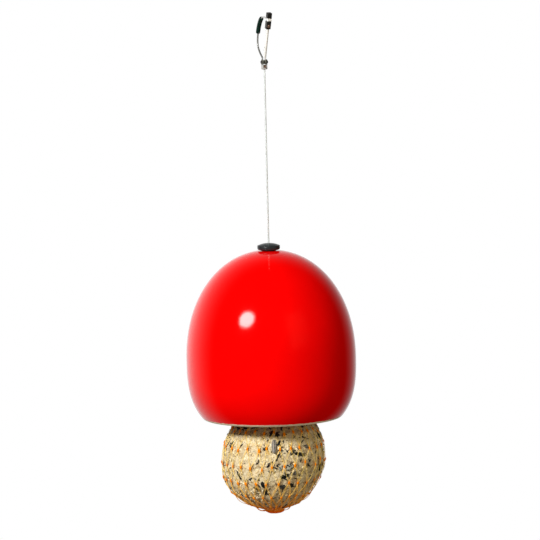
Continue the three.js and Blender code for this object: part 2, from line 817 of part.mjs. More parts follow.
const latch = new THREE.Group();
latch.position.z = hingeZ;
latch.rotation.y = lean;
const latchRivet = piece("latch_rivet", rivet(latchPin, headWidth, latchHeadWall), "copper");
latchRivet.rotation.z = Math.PI / 2;
latchRivet.position.z = headLow + latchPinRise;
latch.add(
  piece("latch_arm", latchArm(), "polishedSteel"),
  piece("latch_head", latchHead(), "darkSteel"),
  latchRivet,
);
clip.add(latch);

const rope = new THREE.Group();
const endBall = piece("rope_end_ball", ropeEndBall(), "copper");
endBall.position.z = ropeBallZ;
rope.add(
  endBall,
  piece("hanging_rope", hangingRope(), "wireRope"),
  piece("stop_ferrule", ring(stopDiameter / 2, ropeBore, stopBottom, stopTop), "aluminium"),
  piece("eye_ferrule", eyeFerrule(), "aluminium"),
);

const dome = new THREE.Group();
const shell = piece("dome_shell", domeShell(), "redGlaze");
shell.position.z = domeTop;
dome.add(
  shell,
  piece("top_grommet", topGrommet(), "greyRubber"),
  piece("bearing_washer", ring(washerDiameter / 2, ropeBore, washerLow, washerTop), "polishedSteel"),
);

const food = new THREE.Group();
const ball = piece("fat_ball", fatBall(), "fatAndSeeds");
ball.position.z = ballZ;
const net = piece("net_bag", netBag(), "orangeNet");
net.position.z = ballZ;
food.add(
  piece("ball_hook", ballHook(), "polishedSteel"),
  ball,
  net,
  piece("net_neck", netNeck(), "orangeNet"),
  piece("net_top_clip", netTopClip(), "aluminium"),
  piece("net_bottom_gather", netBottomGather(), "orangeNet"),
);

feeder.add(clip, rope, dome, food);

export default feeder;
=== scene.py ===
import math
import random
import bmesh
import bpy
from mathutils import Matrix, Vector, noise


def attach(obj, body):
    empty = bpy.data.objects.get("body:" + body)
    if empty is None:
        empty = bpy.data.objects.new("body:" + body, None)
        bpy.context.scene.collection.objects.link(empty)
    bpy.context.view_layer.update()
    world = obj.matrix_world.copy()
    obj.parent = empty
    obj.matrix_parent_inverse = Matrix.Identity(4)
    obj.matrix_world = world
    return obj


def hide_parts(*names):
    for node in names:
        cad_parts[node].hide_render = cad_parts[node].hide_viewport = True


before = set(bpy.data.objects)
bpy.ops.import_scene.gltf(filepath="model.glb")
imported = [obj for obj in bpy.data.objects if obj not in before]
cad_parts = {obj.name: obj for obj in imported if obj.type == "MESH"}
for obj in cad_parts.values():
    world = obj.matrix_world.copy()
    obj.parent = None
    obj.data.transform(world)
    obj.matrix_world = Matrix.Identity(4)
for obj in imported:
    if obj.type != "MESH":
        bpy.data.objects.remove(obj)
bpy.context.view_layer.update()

# Sizes of the part are millimetres in its frame, and its meshes are made in metres.
# The camera, the lamps, the floor and the scales of textures count in metres.
MM = 0.001
TURN = 2 * math.pi
rad = math.radians


def xz(x, z):
    return Vector((x, 0, z))


def yz(y, z):
    return Vector((0, y, z))


# Camera
VIEW_AZIMUTH = rad(65)
VIEW_DISTANCE, CAMERA_HEIGHT = 2.2, 0.092
AIM_HEIGHT, AIM_RIGHT = -0.148, 0.0005
ROLL = rad(-1.35)
LENS, SENSOR = 251.0, 36

toward_camera = Vector((math.sin(VIEW_AZIMUTH), -math.cos(VIEW_AZIMUTH), 0))
image_right = Vector((math.cos(VIEW_AZIMUTH), math.sin(VIEW_AZIMUTH), 0))
up = Vector((0, 0, 1))
along_x = Vector((1, 0, 0))
along_y = Vector((0, 1, 0))

# Sizes shared with the solids
HINGE_Z = -25.7
ROPE_BALL_Z, ROPE_BALL = -28.25, 1.05
BASE_TOP, BASE_LOW, BASE_RADIUS, FLOOR_TOP, FORK_GAP = -24.2, -30.0, 1.8, -29.0, 2.5
FRAME_WIRE, ARM_ROD = 1.0, 1.7
EYE_BORE, EYE_ASIDE = 0.75, 0.55
LEG_REACH, LEG_WAIST = 8.5, -14.5
FOOT_LEAN = rad(45)
NOSE_DROP, NOSE_STRAIGHT = 1.3, 2.1
LATCH_LEAN = rad(16.4)
HEAD_WIDTH, HEAD_DEPTH, HEAD_ABOVE, HEAD_BELOW, HEAD_WEB = 2.7, 2.8, 4.2, 5.6, 0.7
SLEEVE_LENGTH, SLEEVE_SET_BACK, SLEEVE_WALL = 11.0, 2.3, 0.55
SEAT_GAP, RUN_GAP = 0.3, 0.25
GROMMET_TOP, CAP_LOW, DOME_TOP = -132.1, -135.8, -136.1
GROMMET_CAP, GROMMET_STEM, GROMMET_FLANGE = 6.7, 4.2, 5.5
FLANGE_TOP, FLANGE_LOW = -141.2, -143.7
WASHER_TOP, WASHER_LOW = -144.0, -145.0
STOP_TOP, STOP_LOW, STOP_RADIUS = -145.3, -151.3, 1.7
FERRULE_TOP, FERRULE_LOW, FERRULE_RADIUS = -157.5, -164.5, 1.3
ROPE_BORE, EYE_Z, EYE_RADIUS, LEG_X = 0.75, -175.5, 4.0, 0.95
HOOK_WIRE, HOOK_EYE_Z, HOOK_EYE, HOOK_BEND_Z, HOOK_BEND = 0.9, -181.0, 3.2, -195.0, 4.2
HOOK_LOW = HOOK_BEND_Z - HOOK_BEND
LOOP_RADIUS, LOOP_LEG = 1.2, 1.35
CLIP_TOP, CLIP_LOW, CLIP_RADIUS = -214.0, -218.0, 2.1
COLLAR_Z, COLLAR_RADIUS = -219.15, 3.6
RIM_Z, RIM_SHARE = -235.3, 0.8153
DOME_RADIUS, DOME_SHOULDER, DOME_WALL, DOME_HOLE, RIM_ROUND = 50, 64.2, 4.2, 4.5, 1.3
BALL_Z = -260.8
BALL_WIDE, BALL_UPPER, BALL_LOWER, BALL_FULLNESS = 29.8, 30.4, 28.6, 2.25
NET_COLUMNS, NET_ABOVE, NET_BELOW, NET_TO_FOOT = 28, 3, 4, 4.6
GATHER_TOP, GATHER_LOW, GATHER_RADIUS = -290.65, -292.35, 6.2

ARM_REACH = (FRAME_WIRE / 2 - HINGE_Z - NOSE_DROP) / math.cos(LATCH_LEAN)
hinge = xz(0, HINGE_Z)
arm_way = xz(math.sin(LATCH_LEAN), math.cos(LATCH_LEAN))
nose = arm_way * ARM_REACH + hinge
ball_center = Vector((0, 0, BALL_Z))


def in_scene(name, data):
    obj = bpy.data.objects.new(name, data)
    bpy.context.scene.collection.objects.link(obj)
    return obj


def aimed(name, data, spot, target, spin):
    """A new object that looks from a spot at a target, turned about that line."""
    obj = in_scene(name, data)
    facing = (spot - target).to_track_quat("Z", "Y").to_matrix() @ Matrix.Rotation(spin, 3, "Z")
    obj.matrix_world = Matrix.Translation(spot) @ facing.to_4x4()
    return obj


def make_camera():
    data = bpy.data.cameras.new("camera")
    data.lens = LENS
    data.sensor_width = SENSOR
    data.clip_start = 0.05
    data.clip_end = 50
    eye = toward_camera * VIEW_DISTANCE + up * CAMERA_HEIGHT
    aim = image_right * AIM_RIGHT + up * AIM_HEIGHT
    bpy.context.scene.camera = aimed("camera", data, eye, aim, ROLL)


make_camera()


# Materials


class Nodes:
    """Short ways to add and link the nodes of a material or a world."""

    def __init__(self, owner, coordinates, bare=False):
        owner.use_nodes = True
        self.tree = owner.node_tree
        if bare:
            self.tree.nodes.clear()
        self.where = self.add("ShaderNodeTexCoord").outputs[coordinates]

    def fill(self, socket, value):
        """Links another socket to this one, or sets it to a constant."""
        if isinstance(value, bpy.types.NodeSocket):
            self.tree.links.new(value, socket)
        else:
            socket.default_value = value

    def add(self, kind, inputs=None, **settings):
        node = self.tree.nodes.new(kind)
        for key, value in settings.items():
            setattr(node, key, value)
        for key, value in (inputs or {}).items():
            self.fill(node.inputs[key], value)
        return node

    def remap(self, value, low, high, to_low=0.0, to_high=1.0, **settings):
        inputs = {"Value": value, "From Min": low, "From Max": high, "To Min": to_low, "To Max": to_high}
        return self.add("ShaderNodeMapRange", inputs, **settings).outputs[0]

    def math(self, operation, a, b=0.0):
        return self.add("ShaderNodeMath", {0: a, 1: b}, operation=operation).outputs[0]

    def measure(self, operation, inputs):
        return self.add("ShaderNodeVectorMath", inputs, operation=operation).outputs["Value"]

    def along(self, direction):
        return self.measure("DOT_PRODUCT", {0: self.where, 1: direction})

    def axis(self, index):
        return self.add("ShaderNodeSeparateXYZ", {0: self.where}).outputs[index]

    def blend(self, factor, a, b):
        return self.add("ShaderNodeMixShader", {0: factor, 1: a, 2: b}).outputs[0]


class Paint(Nodes):
    """A material on the principled shader, with its textures in the part's frame."""

    def __init__(self, name, metallic=0.0):
        self.material = bpy.data.materials.new(name)
        super().__init__(self.material, "Object")
        self.shader = self.tree.nodes["Principled BSDF"]
        self.shade("Metallic", metallic)
        self.shade("IOR", 1.5)

    def shade(self, socket, value):
        self.fill(self.shader.inputs[socket], value)

    def noise(self, scale, detail=3.0, roughness=0.55, where=None):
        inputs = {"Vector": where or self.where, "Scale": scale, "Detail": detail, "Roughness": roughness}
        return self.add("ShaderNodeTexNoise", inputs).outputs["Fac"]

    def lines(self, scales, detail=4):
        """Noise drawn out into lines by a scale of its own along each axis."""
        where = self.add("ShaderNodeMapping", {"Vector": self.where, "Scale": scales}).outputs[0]
        return self.noise(1, detail, 0.6, where)

    def cells(self, scale):
        return self.add("ShaderNodeTexVoronoi", {"Vector": self.where, "Scale": scale}).outputs["Distance"]

    def spread(self, texture, low, high):
        """A noise brought from the range it mostly has to another one."""
        return self.remap(texture, 0.3, 0.7, low, high)

    def frayed(self, value, texture, width):
        """A place made uneven by a width in millimetres, so that its edge comes out ragged."""
        return self.math("ADD", value, self.spread(texture, -width * MM, width * MM))

    def mix(self, factor, a, b):
        a, b = ((*c, 1) if isinstance(c, tuple) else c for c in (a, b))
        return self.add("ShaderNodeMix", {0: factor, 6: a, 7: b}, data_type="RGBA").outputs[2]

    def over(self, base, texture, low, high, color, most=1.0):
        """A colour laid over another where a texture goes from low to high."""
        return self.mix(self.remap(texture, low, high, 0.0, most), base, color)

    def marks(self):
        """The three values that the mesh holds at each of its points."""
        color = self.add("ShaderNodeAttribute", attribute_name="place").outputs["Color"]
        return self.add("ShaderNodeSeparateColor", {0: color}).outputs[:3]

    def bump(self, height, depth):
        """Relief of a depth in millimetres, on top of what is there."""
        normal = self.shader.inputs["Normal"]
        inputs = {"Height": height, "Distance": depth * MM, "Strength": 1.0}
        if normal.is_linked:
            inputs["Normal"] = normal.links[0].from_socket
        self.shade("Normal", self.add("ShaderNodeBump", inputs).outputs[0])

    def done(self, color, roughness, *reliefs):
        """The finished material, with reliefs as pairs of a height and a depth."""
        self.shade("Base Color", color)
        self.shade("Roughness", roughness)
        for height, depth in reliefs:
            self.bump(height, depth)
        return self.material


FINE = 0.012
DRAWN_LINES = (900, 900, 120)
TURNED_LINES = (300, 300, 2600)
# Heights over which the wires turn dark in the fork: painted shade.
FORK_SHADE_TOP, FORK_SHADE_LOW = -24.0, -24.6


def shaded_in_fork(p, tone):
    """A tone that turns dark where the wires go into the fork: painted shade between the parts."""
    return p.over(tone, p.axis(2), FORK_SHADE_TOP * MM, FORK_SHADE_LOW * MM, (0.15, 0.15, 0.125))


def metal(name, bright, dark, roughness, metallic=1.0, in_fork=False):
    """Drawn or polished metal with fine lines along Z and faint tarnish; with in_fork, painted shade where
    it goes into the fork.
    """
    p = Paint(name, metallic)
    tone = p.over(bright, p.noise(260, 4), 0.42, 0.68, dark)
    lines = p.lines(DRAWN_LINES)
    gloss = p.spread(lines, roughness * 0.7, roughness * 1.5)
    return p.done(shaded_in_fork(p, tone) if in_fork else tone, gloss, (lines, FINE))


def head_steel_with_painted_highlight():
    """Dark steel of the latch head, with a painted highlight: a bright, hardly metallic band where the nose
    goes in.
    """
    p = Paint("dark_steel")
    dark = p.over((0.11, 0.105, 0.095), p.noise(300, 4), 0.4, 0.68, (0.045, 0.042, 0.038))
    # Painted highlight: a bright band, hardly metallic, across the head where the nose goes in.
    highlight_band = (ARM_REACH + 0.3 + HINGE_Z * arm_way.z) * MM
    off = p.math("ABSOLUTE", p.math("SUBTRACT", p.along(arm_way), highlight_band))
    painted_highlight = p.remap(p.frayed(off, p.noise(900, 4), 0.15), 0.9 * MM, 0.7 * MM)
    p.shade("Metallic", p.remap(painted_highlight, 0, 1, 0.8, 0.1))
    tone = p.mix(painted_highlight, dark, (0.96, 0.96, 0.94))
    return p.done(tone, p.spread(p.noise(1600), 0.26, 0.46), (p.noise(2200), FINE))


def wire_with_painted_light():
    """Spring wire, grey along the leg, with a painted highlight where it bends over to the nose and painted
    shade in the fork.
    """
    p = Paint("spring_steel", 0.7)
    tarnish = p.noise(320, 4)
    grey = p.over((0.5, 0.5, 0.48), tarnish, 0.4, 0.66, (0.26, 0.26, 0.24))
    # Painted highlight: near-white on the wire's top bend and nose.
    across = p.frayed(p.axis(0), tarnish, 0.6)
    tone = shaded_in_fork(p, p.over(grey, across, -2.2 * MM, -0.6 * MM, (0.93, 0.93, 0.91)))
    return p.done(tone, p.spread(p.lines(DRAWN_LINES), 0.3, 0.5), (p.noise(1800), FINE))


def fork_steel():
    """Turned steel of the clip's foot, with painted shade in the fork and bright below it."""
    p = Paint("fork_steel", 0.5)
    tarnish = p.noise(420, 4)
    bright = p.over((0.66, 0.66, 0.63), tarnish, 0.42, 0.68, (0.45, 0.44, 0.41))
    # Painted shade: the foot's steel turns dark in the fork.
    dark = p.over((0.17, 0.17, 0.14), tarnish, 0.4, 0.6, (0.07, 0.07, 0.055))
    tone = p.over(bright, p.frayed(p.axis(2), tarnish, 0.4), -27.8 * MM, -26.9 * MM, dark)
    lines = p.lines(TURNED_LINES)
    return p.done(tone, p.spread(lines, 0.28, 0.5), (lines, FINE))


def glaze():
    """Glossy red glaze over a pale clay that shows bare on the rim."""
    p = Paint("red_glaze")
    thin = p.over((0.87, 0.0006, 0.0005), p.noise(38), 0.35, 0.7, (0.82, 0.0004, 0.0004))
    body = p.over((0.6, 0.0004, 0.0004), p.cells(330), 0.035, 0.075, thin)
    height = p.frayed(p.axis(2), p.noise(240, 4), 0.22)
    bare = p.remap(height, (RIM_Z + 1.5) * MM, (RIM_Z + 1.2) * MM)
    grit = p.noise(900, 5, 0.7)
    clay = p.over((0.95, 0.88, 0.7), grit, 0.3, 0.7, (0.84, 0.72, 0.52))
    clay = p.over((0.42, 0.3, 0.18), p.cells(620), 0.1, 0.2, clay)
    reliefs = (p.noise(55, 2), 0.06), (p.math("MULTIPLY", bare, grit), 0.1)
    return p.done(p.mix(bare, body, clay), p.remap(bare, 0, 1, 0.08, 0.78), *reliefs)


def mottled(name, tones, patches, edges, gloss, grain, metallic=0.0):
    """Two tones in soft patches. Gloss is a scale and two roughnesses, grain a scale, detail and depth."""
    p = Paint(name, metallic)
    tone = p.over(tones[0], p.noise(patches, 4), *edges, tones[1])
    return p.done(tone, p.spread(p.noise(gloss[0]), *gloss[1:]), (p.noise(*grain[:2]), grain[2]))


def rubber():
    tones = (0.016, 0.022, 0.024), (0.03, 0.038, 0.04)
    return mottled("grey_rubber", tones, 420, (0.4, 0.75), (1500, 0.26, 0.4), (2600, 3, 0.02))


def sleeve_plastic():
    tones = (0.0016, 0.013, 0.0085), (0.006, 0.034, 0.023)
    return mottled("green_sleeve", tones, 500, (0.45, 0.75), (1900, 0.32, 0.5), (1600, 3, 0.02))


def rope_steel():
    tones = (0.86, 0.9, 0.9), (0.72, 0.76, 0.75)
    return mottled("wire_rope", tones, 420, (0.4, 0.66), (2200, 0.35, 0.55), (5200, 2, FINE), 0.3)


def suet():
    """Crumbly fat and meal between the seeds, with fine bran and dark flecks."""
    p = Paint("suet")
    crumb = p.noise(300, 5, 0.6)
    fine = p.noise(1100, 4, 0.65)
    tone = p.over((0.42, 0.3, 0.15), crumb, 0.36, 0.54, (0.76, 0.63, 0.4))
    tone = p.over(tone, fine, 0.52, 0.66, (0.9, 0.8, 0.56))
    tone = p.over(tone, fine, 0.4, 0.31, (0.3, 0.21, 0.11))
    tone = p.over(tone, p.noise(120), 0.5, 0.68, (0.46, 0.34, 0.17), 0.65)
    tone = p.over(tone, p.lines((1300, 1300, 380), 3), 0.62, 0.69, (0.13, 0.1, 0.06))
    tone = p.over((0.06, 0.05, 0.035), p.cells(640), 0.07, 0.12, tone)
    return p.done(tone, p.spread(fine, 0.6, 0.88), (crumb, 0.7), (fine, 0.2))


def dark_seed():
    """Sunflower husk, black to grey, the palest with stripes. Marks: place along, place around, tone."""
    p = Paint("sunflower_seed")
    along, around, shade = p.marks()
    stripes = 7
    wave = p.math("SINE", p.math("MULTIPLY", around, TURN * stripes))
    wobble = p.math("ADD", wave, p.spread(p.noise(700), -0.6, 0.6))
    stripe = p.math("MULTIPLY", p.remap(wobble, 0.2, 0.7), p.remap(shade, 0.72, 0.8))
    dusty = p.math("MULTIPLY", p.remap(shade, 0.62, 0.69), p.remap(shade, 0.84, 0.77))
    tone = p.over((0.007, 0.009, 0.009), shade, 0.25, 0.75, (0.16, 0.15, 0.13))
    tone = p.mix(dusty, tone, (0.36, 0.36, 0.28))
    tone = p.over(tone, p.noise(900, 4), 0.5, 0.62, (0.03, 0.03, 0.028))
    tone = p.mix(stripe, tone, (0.37, 0.32, 0.27))
    tone = p.over(tone, along, 0.9, 1.0, (0.3, 0.25, 0.18))
    return p.done(tone, p.spread(p.noise(2400), 0.38, 0.65), (wave, 0.03))


def pale_seed(name, light, middle, brown):
    """Oat flakes, broken grain and fat crumbs, each in a tone of its own."""
    p = Paint(name)
    chance = p.marks()[2]
    patch = p.noise(170, 2)
    fibre = p.noise(1500, 4)
    tone = p.over(light, chance, 0.0, 0.6, middle)
    tone = p.over(tone, chance, 0.84, 1.0, brown)
    tone = p.over(tone, patch, 0.5, 0.62, (0.98, 0.89, 0.66), 0.75)
    tone = p.over(tone, patch, 0.46, 0.32, brown, 0.4)
    tone = p.over(tone, fibre, 0.52, 0.75, brown, 0.4)
    return p.done(tone, p.spread(fibre, 0.5, 0.8), (fibre, 0.08))


def net_plastic():
    """Net that lets light in, with a faint glow of its own tone as painted light: stretched strands are
    paler than thick knots and the gathered end.
    """
    p = Paint("orange_net")
    thick, bunched, _ = p.marks()
    tone = p.over((0.92, 0.71, 0.21), p.noise(600), 0.35, 0.7, (0.86, 0.58, 0.1))
    tone = p.mix(thick, tone, (0.84, 0.235, 0.003))
    tone = p.mix(bunched, tone, (0.96, 0.15, 0.001))
    # Painted light: a faint glow of the net's own tone stands in for light coming through the thin plastic.
    p.shade("Emission Color", tone)
    p.shade("Emission Strength", 0.08)
    p.shade("Specular IOR Level", 0.05)
    return p.done(tone, p.spread(p.noise(1700), 0.32, 0.55), (p.noise(2400), 0.02))


steel = metal("polished_steel", (0.86, 0.86, 0.84), (0.72, 0.71, 0.68), 0.36, 0.7)
spring_steel = wire_with_painted_light()
base_steel = fork_steel()
# Latch arm: its own pale steel, made near-white and hardly metallic as a painted reflection, with painted
# shade in the fork.
steel_with_painted_reflection = metal("steel_with_painted_reflection", (0.94, 0.94, 0.92), (0.84, 0.83, 0.8), 0.4, 0.2, in_fork=True)
dark_steel = head_steel_with_painted_highlight()
copper = metal("copper", (0.58, 0.36, 0.27), (0.36, 0.2, 0.14), 0.32, 0.8)
alloy = metal("aluminium", (0.66, 0.67, 0.68), (0.5, 0.51, 0.52), 0.34)
green = sleeve_plastic()
red = glaze()
black = rubber()
strand_steel = rope_steel()
orange = net_plastic()


# Mesh helpers


def shares(count):
    """Even steps from 0 to 1."""
    return [i / count for i in range(count + 1)]


def circle(radius, sides):
    angles = [TURN * k / sides for k in range(sides)]
    return [(radius * math.cos(a), radius * math.sin(a)) for a in angles]


def across_lobe(k, per_lobe):
    """Where a point of a ring lies across its own lobe, from -1 to 1."""
    return (k % per_lobe) / per_lobe * 2 - 1


def new_object(name, vertices, faces, material, sharp=40, places=None):
    """A smooth mesh from sizes in millimetres, with the marks that its material reads."""
    mesh = bpy.data.meshes.new(name)
    mesh.from_pydata([Vector(v) * MM for v in vertices], [], faces)
    if places:
        layer = mesh.attributes.new("place", "FLOAT_COLOR", "POINT")
        for item, value in zip(layer.data, places):
            item.color = (*value, 1)
    mesh.materials.append(material)
    obj = in_scene(name, mesh)
    clean(obj, sharp)
    return obj


def clean(obj, sharp=40):
    """Merges doubled points, turns faces outward and smooths all but sharp edges."""
    work = bmesh.new()
    work.from_mesh(obj.data)
    bmesh.ops.remove_doubles(work, verts=work.verts, dist=1e-7)
    bmesh.ops.dissolve_degenerate(work, edges=work.edges, dist=1e-8)
    bmesh.ops.recalc_face_normals(work, faces=work.faces)
    work.to_mesh(obj.data)
    work.free()
    obj.data.shade_smooth()
    obj.data.set_sharp_from_angle(angle=rad(sharp))


def combine(obj, tool, operation):
    """Joins or cuts two closed meshes and removes the tool."""
    modifier = obj.modifiers.new("solid", "BOOLEAN")
    modifier.operation = operation
    modifier.solver = "EXACT"
    modifier.object = tool
    graph = bpy.context.evaluated_depsgraph_get()
    mesh = bpy.data.meshes.new_from_object(obj.evaluated_get(graph))
    obj.modifiers.clear()
    mesh.name = obj.name
    obj.data = mesh
    bpy.data.objects.remove(tool, do_unlink=True)
    clean(obj)


def round_edges(obj, width, segments):
    work = bmesh.new()
    work.from_mesh(obj.data)
    edges = [e for e in work.edges if len(e.link_faces) == 2 and e.calc_face_angle() > rad(35)]
    shape = {"offset": width * MM, "segments": segments, "profile": 0.5}
    bmesh.ops.bevel(work, geom=edges, affect="EDGES", clamp_overlap=True, **shape)
    work.to_mesh(obj.data)
    work.free()
    clean(obj)


def skin(rings, around, capped=True):
    """Faces between rings of points that follow each other, with or without flat ends."""
    faces = []
    for a in range(0, (rings - 1) * around, around):
        for k in range(around):
            m = (k + 1) % around
            faces.append((a + k, a + m, a + around + m, a + around + k))
    if capped:
        faces.append(tuple(reversed(range(around))))
        faces.append(tuple(range((rings - 1) * around, rings * around)))
    return faces


def turned(name, outline, sides, material, sharp=40):
    """A closed outline of radius and height pairs, turned about Z."""
    count = len(outline)
    vertices = [(r * x, r * y, z) for x, y in circle(1, sides) for r, z in outline]
    on_axis = [r < 1e-9 for r, _ in outline]
    faces = []
    for i in range(sides):
        a = i * count
        b = (i + 1) % sides * count
        for k in range(count):
            m = (k + 1) % count
            if not (on_axis[k] and on_axis[m]):
                faces.append((a + k, b + k, b + m, a + m))
    return new_object(name, vertices, faces, material, sharp)


def rounded(r, z, angles, wide, high=None):
    """Radius and height pairs round a circle or an ellipse about a middle."""
    return [(r + wide * math.cos(rad(a)), z + (high or wide) * math.sin(rad(a))) for a in angles]


def both_sides(half, low, top):
    """An outline from the pairs of its lower edge, with heights counted from either edge."""
    return [(r, low + z) for r, z in half] + [(r, top - z) for r, z in reversed(half)]


def prism(name, corners, depth, material):
    """A block with X and Z corners, as deep as it says along Y."""
    n = len(corners)
    vertices = [(x, y, z) for y in (-depth / 2, depth / 2) for x, z in corners]
    return new_object(name, vertices, skin(2, n), material)


def frames_along(points):
    """Two directions square to a path at each point, turning as little as they can."""
    last = len(points) - 1
    tangents = [(points[min(i + 1, last)] - points[max(i - 1, 0)]).normalized() for i in range(last + 1)]
    side = along_y if abs(tangents[0].y) < 0.9 else along_x
    result = []
    for t in tangents:
        side = (side - t * side.dot(t)).normalized()
        result.append((side.copy(), t.cross(side)))
    return result


def tube(points, section):
    """Points and faces of a tube with closed ends. section(i) gives the pairs of its ring at a point."""
    vertices = []
    for i, (p, (a, b)) in enumerate(zip(points, frames_along(points))):
        vertices += [p + a * x + b * y for x, y in section(i)]
    return vertices, skin(len(points), len(vertices) // len(points))


def wire(name, points, radius, sides, material):
    """A round wire with softly rounded ends."""
    set_back = 0.6
    angles = [rad(a) for a in (35, 60, 80)]

    def end(tip, inside):
        way = (tip - inside).normalized() * radius
        return [tip - way * set_back] + [tip + way * (math.sin(a) - set_back) for a in angles]

    path = end(points[0], points[1])[::-1] + points[1:-1] + end(points[-1], points[-2])
    caps = [math.cos(a) for a in angles]
    sizes = caps[::-1] + [1.0] * len(points) + caps
    return new_object(name, *tube(path, lambda i: circle(radius * sizes[i], sides)), material, 60)


def laid(points, radius, lobes, per_lobe, pitch, groove):
    """Section of a laid rope or bundle: round strands that wind about the middle."""
    lengths = [0.0]
    for a, b in zip(points, points[1:]):
        lengths.append(lengths[-1] + (b - a).length)
    sides = lobes * per_lobe

    def ring(i):
        pairs = []
        for k in range(sides):
            a = TURN * k / sides + TURN * lengths[i] / pitch
            r = radius * (1 - groove * across_lobe(k, per_lobe) ** 2)
            pairs.append((r * math.cos(a), r * math.sin(a)))
        return pairs

    return ring


def curve(count, *corners):
    """A line from the first corner to the last that is drawn towards those between them."""
    points = []
    for t in shares(count):
        row = corners
        while len(row) > 1:
            row = [a.lerp(b, t) for a, b in zip(row, row[1:])]
        points.append(row[0])
    return points


def arc(center, radius, start, stop, across, count):
    angles = [rad(start + (stop - start) * t) for t in shares(count)]
    return [center + across * radius * math.cos(a) + up * radius * math.sin(a) for a in angles]


def joined(*runs):
    points = list(runs[0])
    for run in runs[1:]:
        points += run[1:]
    return points


def spaced(points, step):
    """The same path with points at even spacing."""
    result = [points[0]]
    left = step
    for a, b in zip(points, points[1:]):
        length = (b - a).length
        done = 0.0
        while length - done > left:
            done += left
            result.append(a + (b - a) * (done / length))
            left = step
        left -= length - done
    if (points[-1] - result[-1]).length < step * 0.5:
        result.pop()
    return result + [points[-1]]


def shift(obj, *moves):
    """Moves the mesh itself, because a piece's object stays at the origin."""
    for move in moves:
        obj.data.transform(move)
    return obj


def place(obj, body, slot, *nodes):
    if nodes:
        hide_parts(*nodes)
    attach(obj, body)
    return obj


# The rope


def rope_path():
    """Down from the swaged ball, aside into the ferrule, round the eye and up beside itself."""
    straight, tail = 1, 0.6
    jog = STOP_LOW - straight
    middle = (jog + FERRULE_TOP) / 2
    low = FERRULE_LOW - straight
    half = (low - EYE_Z) / 2
    right = [xz(LEG_X, low), xz(LEG_X, low - half), xz(EYE_RADIUS, EYE_Z + half), xz(EYE_RADIUS, EYE_Z)]
    left = [xz(-p.x, p.z) for p in right]
    return joined(
        curve(40, xz(0, ROPE_BALL_Z + ROPE_BALL), xz(0, jog)),
        curve(12, xz(0, jog), xz(0, middle), xz(-LEG_X, middle), xz(-LEG_X, FERRULE_TOP)),
        curve(6, xz(-LEG_X, FERRULE_TOP), xz(-LEG_X, low)),
        curve(16, *left),
        arc(xz(0, EYE_Z), EYE_RADIUS, 180, 360, along_x, 28),
        curve(16, *reversed(right)),
        curve(6, xz(LEG_X, low), xz(LEG_X, FERRULE_TOP + tail)),
    )


def make_rope():
    points = spaced(rope_path(), 0.45)
    section = laid(points, radius=0.5, lobes=6, per_lobe=5, pitch=6.4, groove=0.16)
    rope = new_object("rope", *tube(points, section), strand_steel, 70)
    length = sum((b - a).length for a, b in zip(points, points[1:])) * MM
    place(rope, "rope", "wire_rope", "hanging_rope")


make_rope()


# The hanging clip

to_hinge = Matrix.Translation(hinge * MM)
on_y = Matrix.Rotation(math.pi / 2, 4, "X")


def eyed_wire(name, way, aside, rest, radius, sides, material):
    """A wire that starts in a flattened eye on the hinge pin and then follows the rest of its path."""
    start, round_from, flat_width, flat_height = 1.0, 4.2, 0.34, 0.5
    points = []
    sizes = []
    for t in shares(10):
        soft = t * t * (3 - 2 * t)
        points.append(way * (start + (round_from - start) * t) + hinge + along_y * aside * (1 - soft))
        sizes.append([flat + (radius - flat) * soft for flat in (flat_width, flat_height)])
    points += [p for p in rest if (p - hinge).length > round_from + 0.3]
    sizes += [(radius, radius)] * (len(points) - len(sizes))

    def section(i):
        a, b = sizes[i]
        return [(a * x, b * y) for x, y in circle(1, sides)]

    obj = new_object(name, *tube(points, section), material, 60)
    outer, bevel, half_thick = EYE_BORE + 0.5, 0.1, 0.4
    half = [(EYE_BORE, bevel), (EYE_BORE + bevel, 0), (outer - bevel, 0), (outer, bevel)]
    eye = turned("eye", both_sides(half, -half_thick, half_thick), 48, material)
    combine(obj, shift(eye, on_y, to_hinge, Matrix.Translation(along_y * aside * MM)), "UNION")
    hole = turned("hole", [(0, -2), (EYE_BORE, -2), (EYE_BORE, 2), (0, 2)], 32, material)
    combine(obj, shift(hole, on_y, to_hinge), "DIFFERENCE")
    return obj


def frame_runs():
    """The bowed wire's leg, shoulder, bend over the top and straight nose."""
    foot, leg_pull, shoulder_pull = 1.75, 0.45, 0.48
    start = xz(-foot * math.sin(FOOT_LEAN), HINGE_Z + foot * math.cos(FOOT_LEAN))
    waist = xz(-LEG_REACH, LEG_WAIST)
    top = xz(0, FRAME_WIRE / 2)
    ease = (LEG_REACH + start.x) * leg_pull
    below = xz(waist.x, waist.z - (waist.z - start.z) * leg_pull)
    above = xz(waist.x, waist.z + (top.z - waist.z) * shoulder_pull)
    leg = curve(40, start, xz(start.x - ease, start.z + ease), below, waist)
    shoulder = curve(40, waist, above, xz(-LEG_REACH * shoulder_pull, top.z), top)
    aim = xz(math.cos(LATCH_LEAN), -math.sin(LATCH_LEAN))
    root = nose - aim * NOSE_STRAIGHT
    corner = root + aim * ((root.z - top.z) / math.sin(LATCH_LEAN))
    tip = nose + aim * (HEAD_WIDTH / 2 - HEAD_WEB - SEAT_GAP)
    return leg, shoulder, curve(20, top, corner, root), curve(6, root, tip)


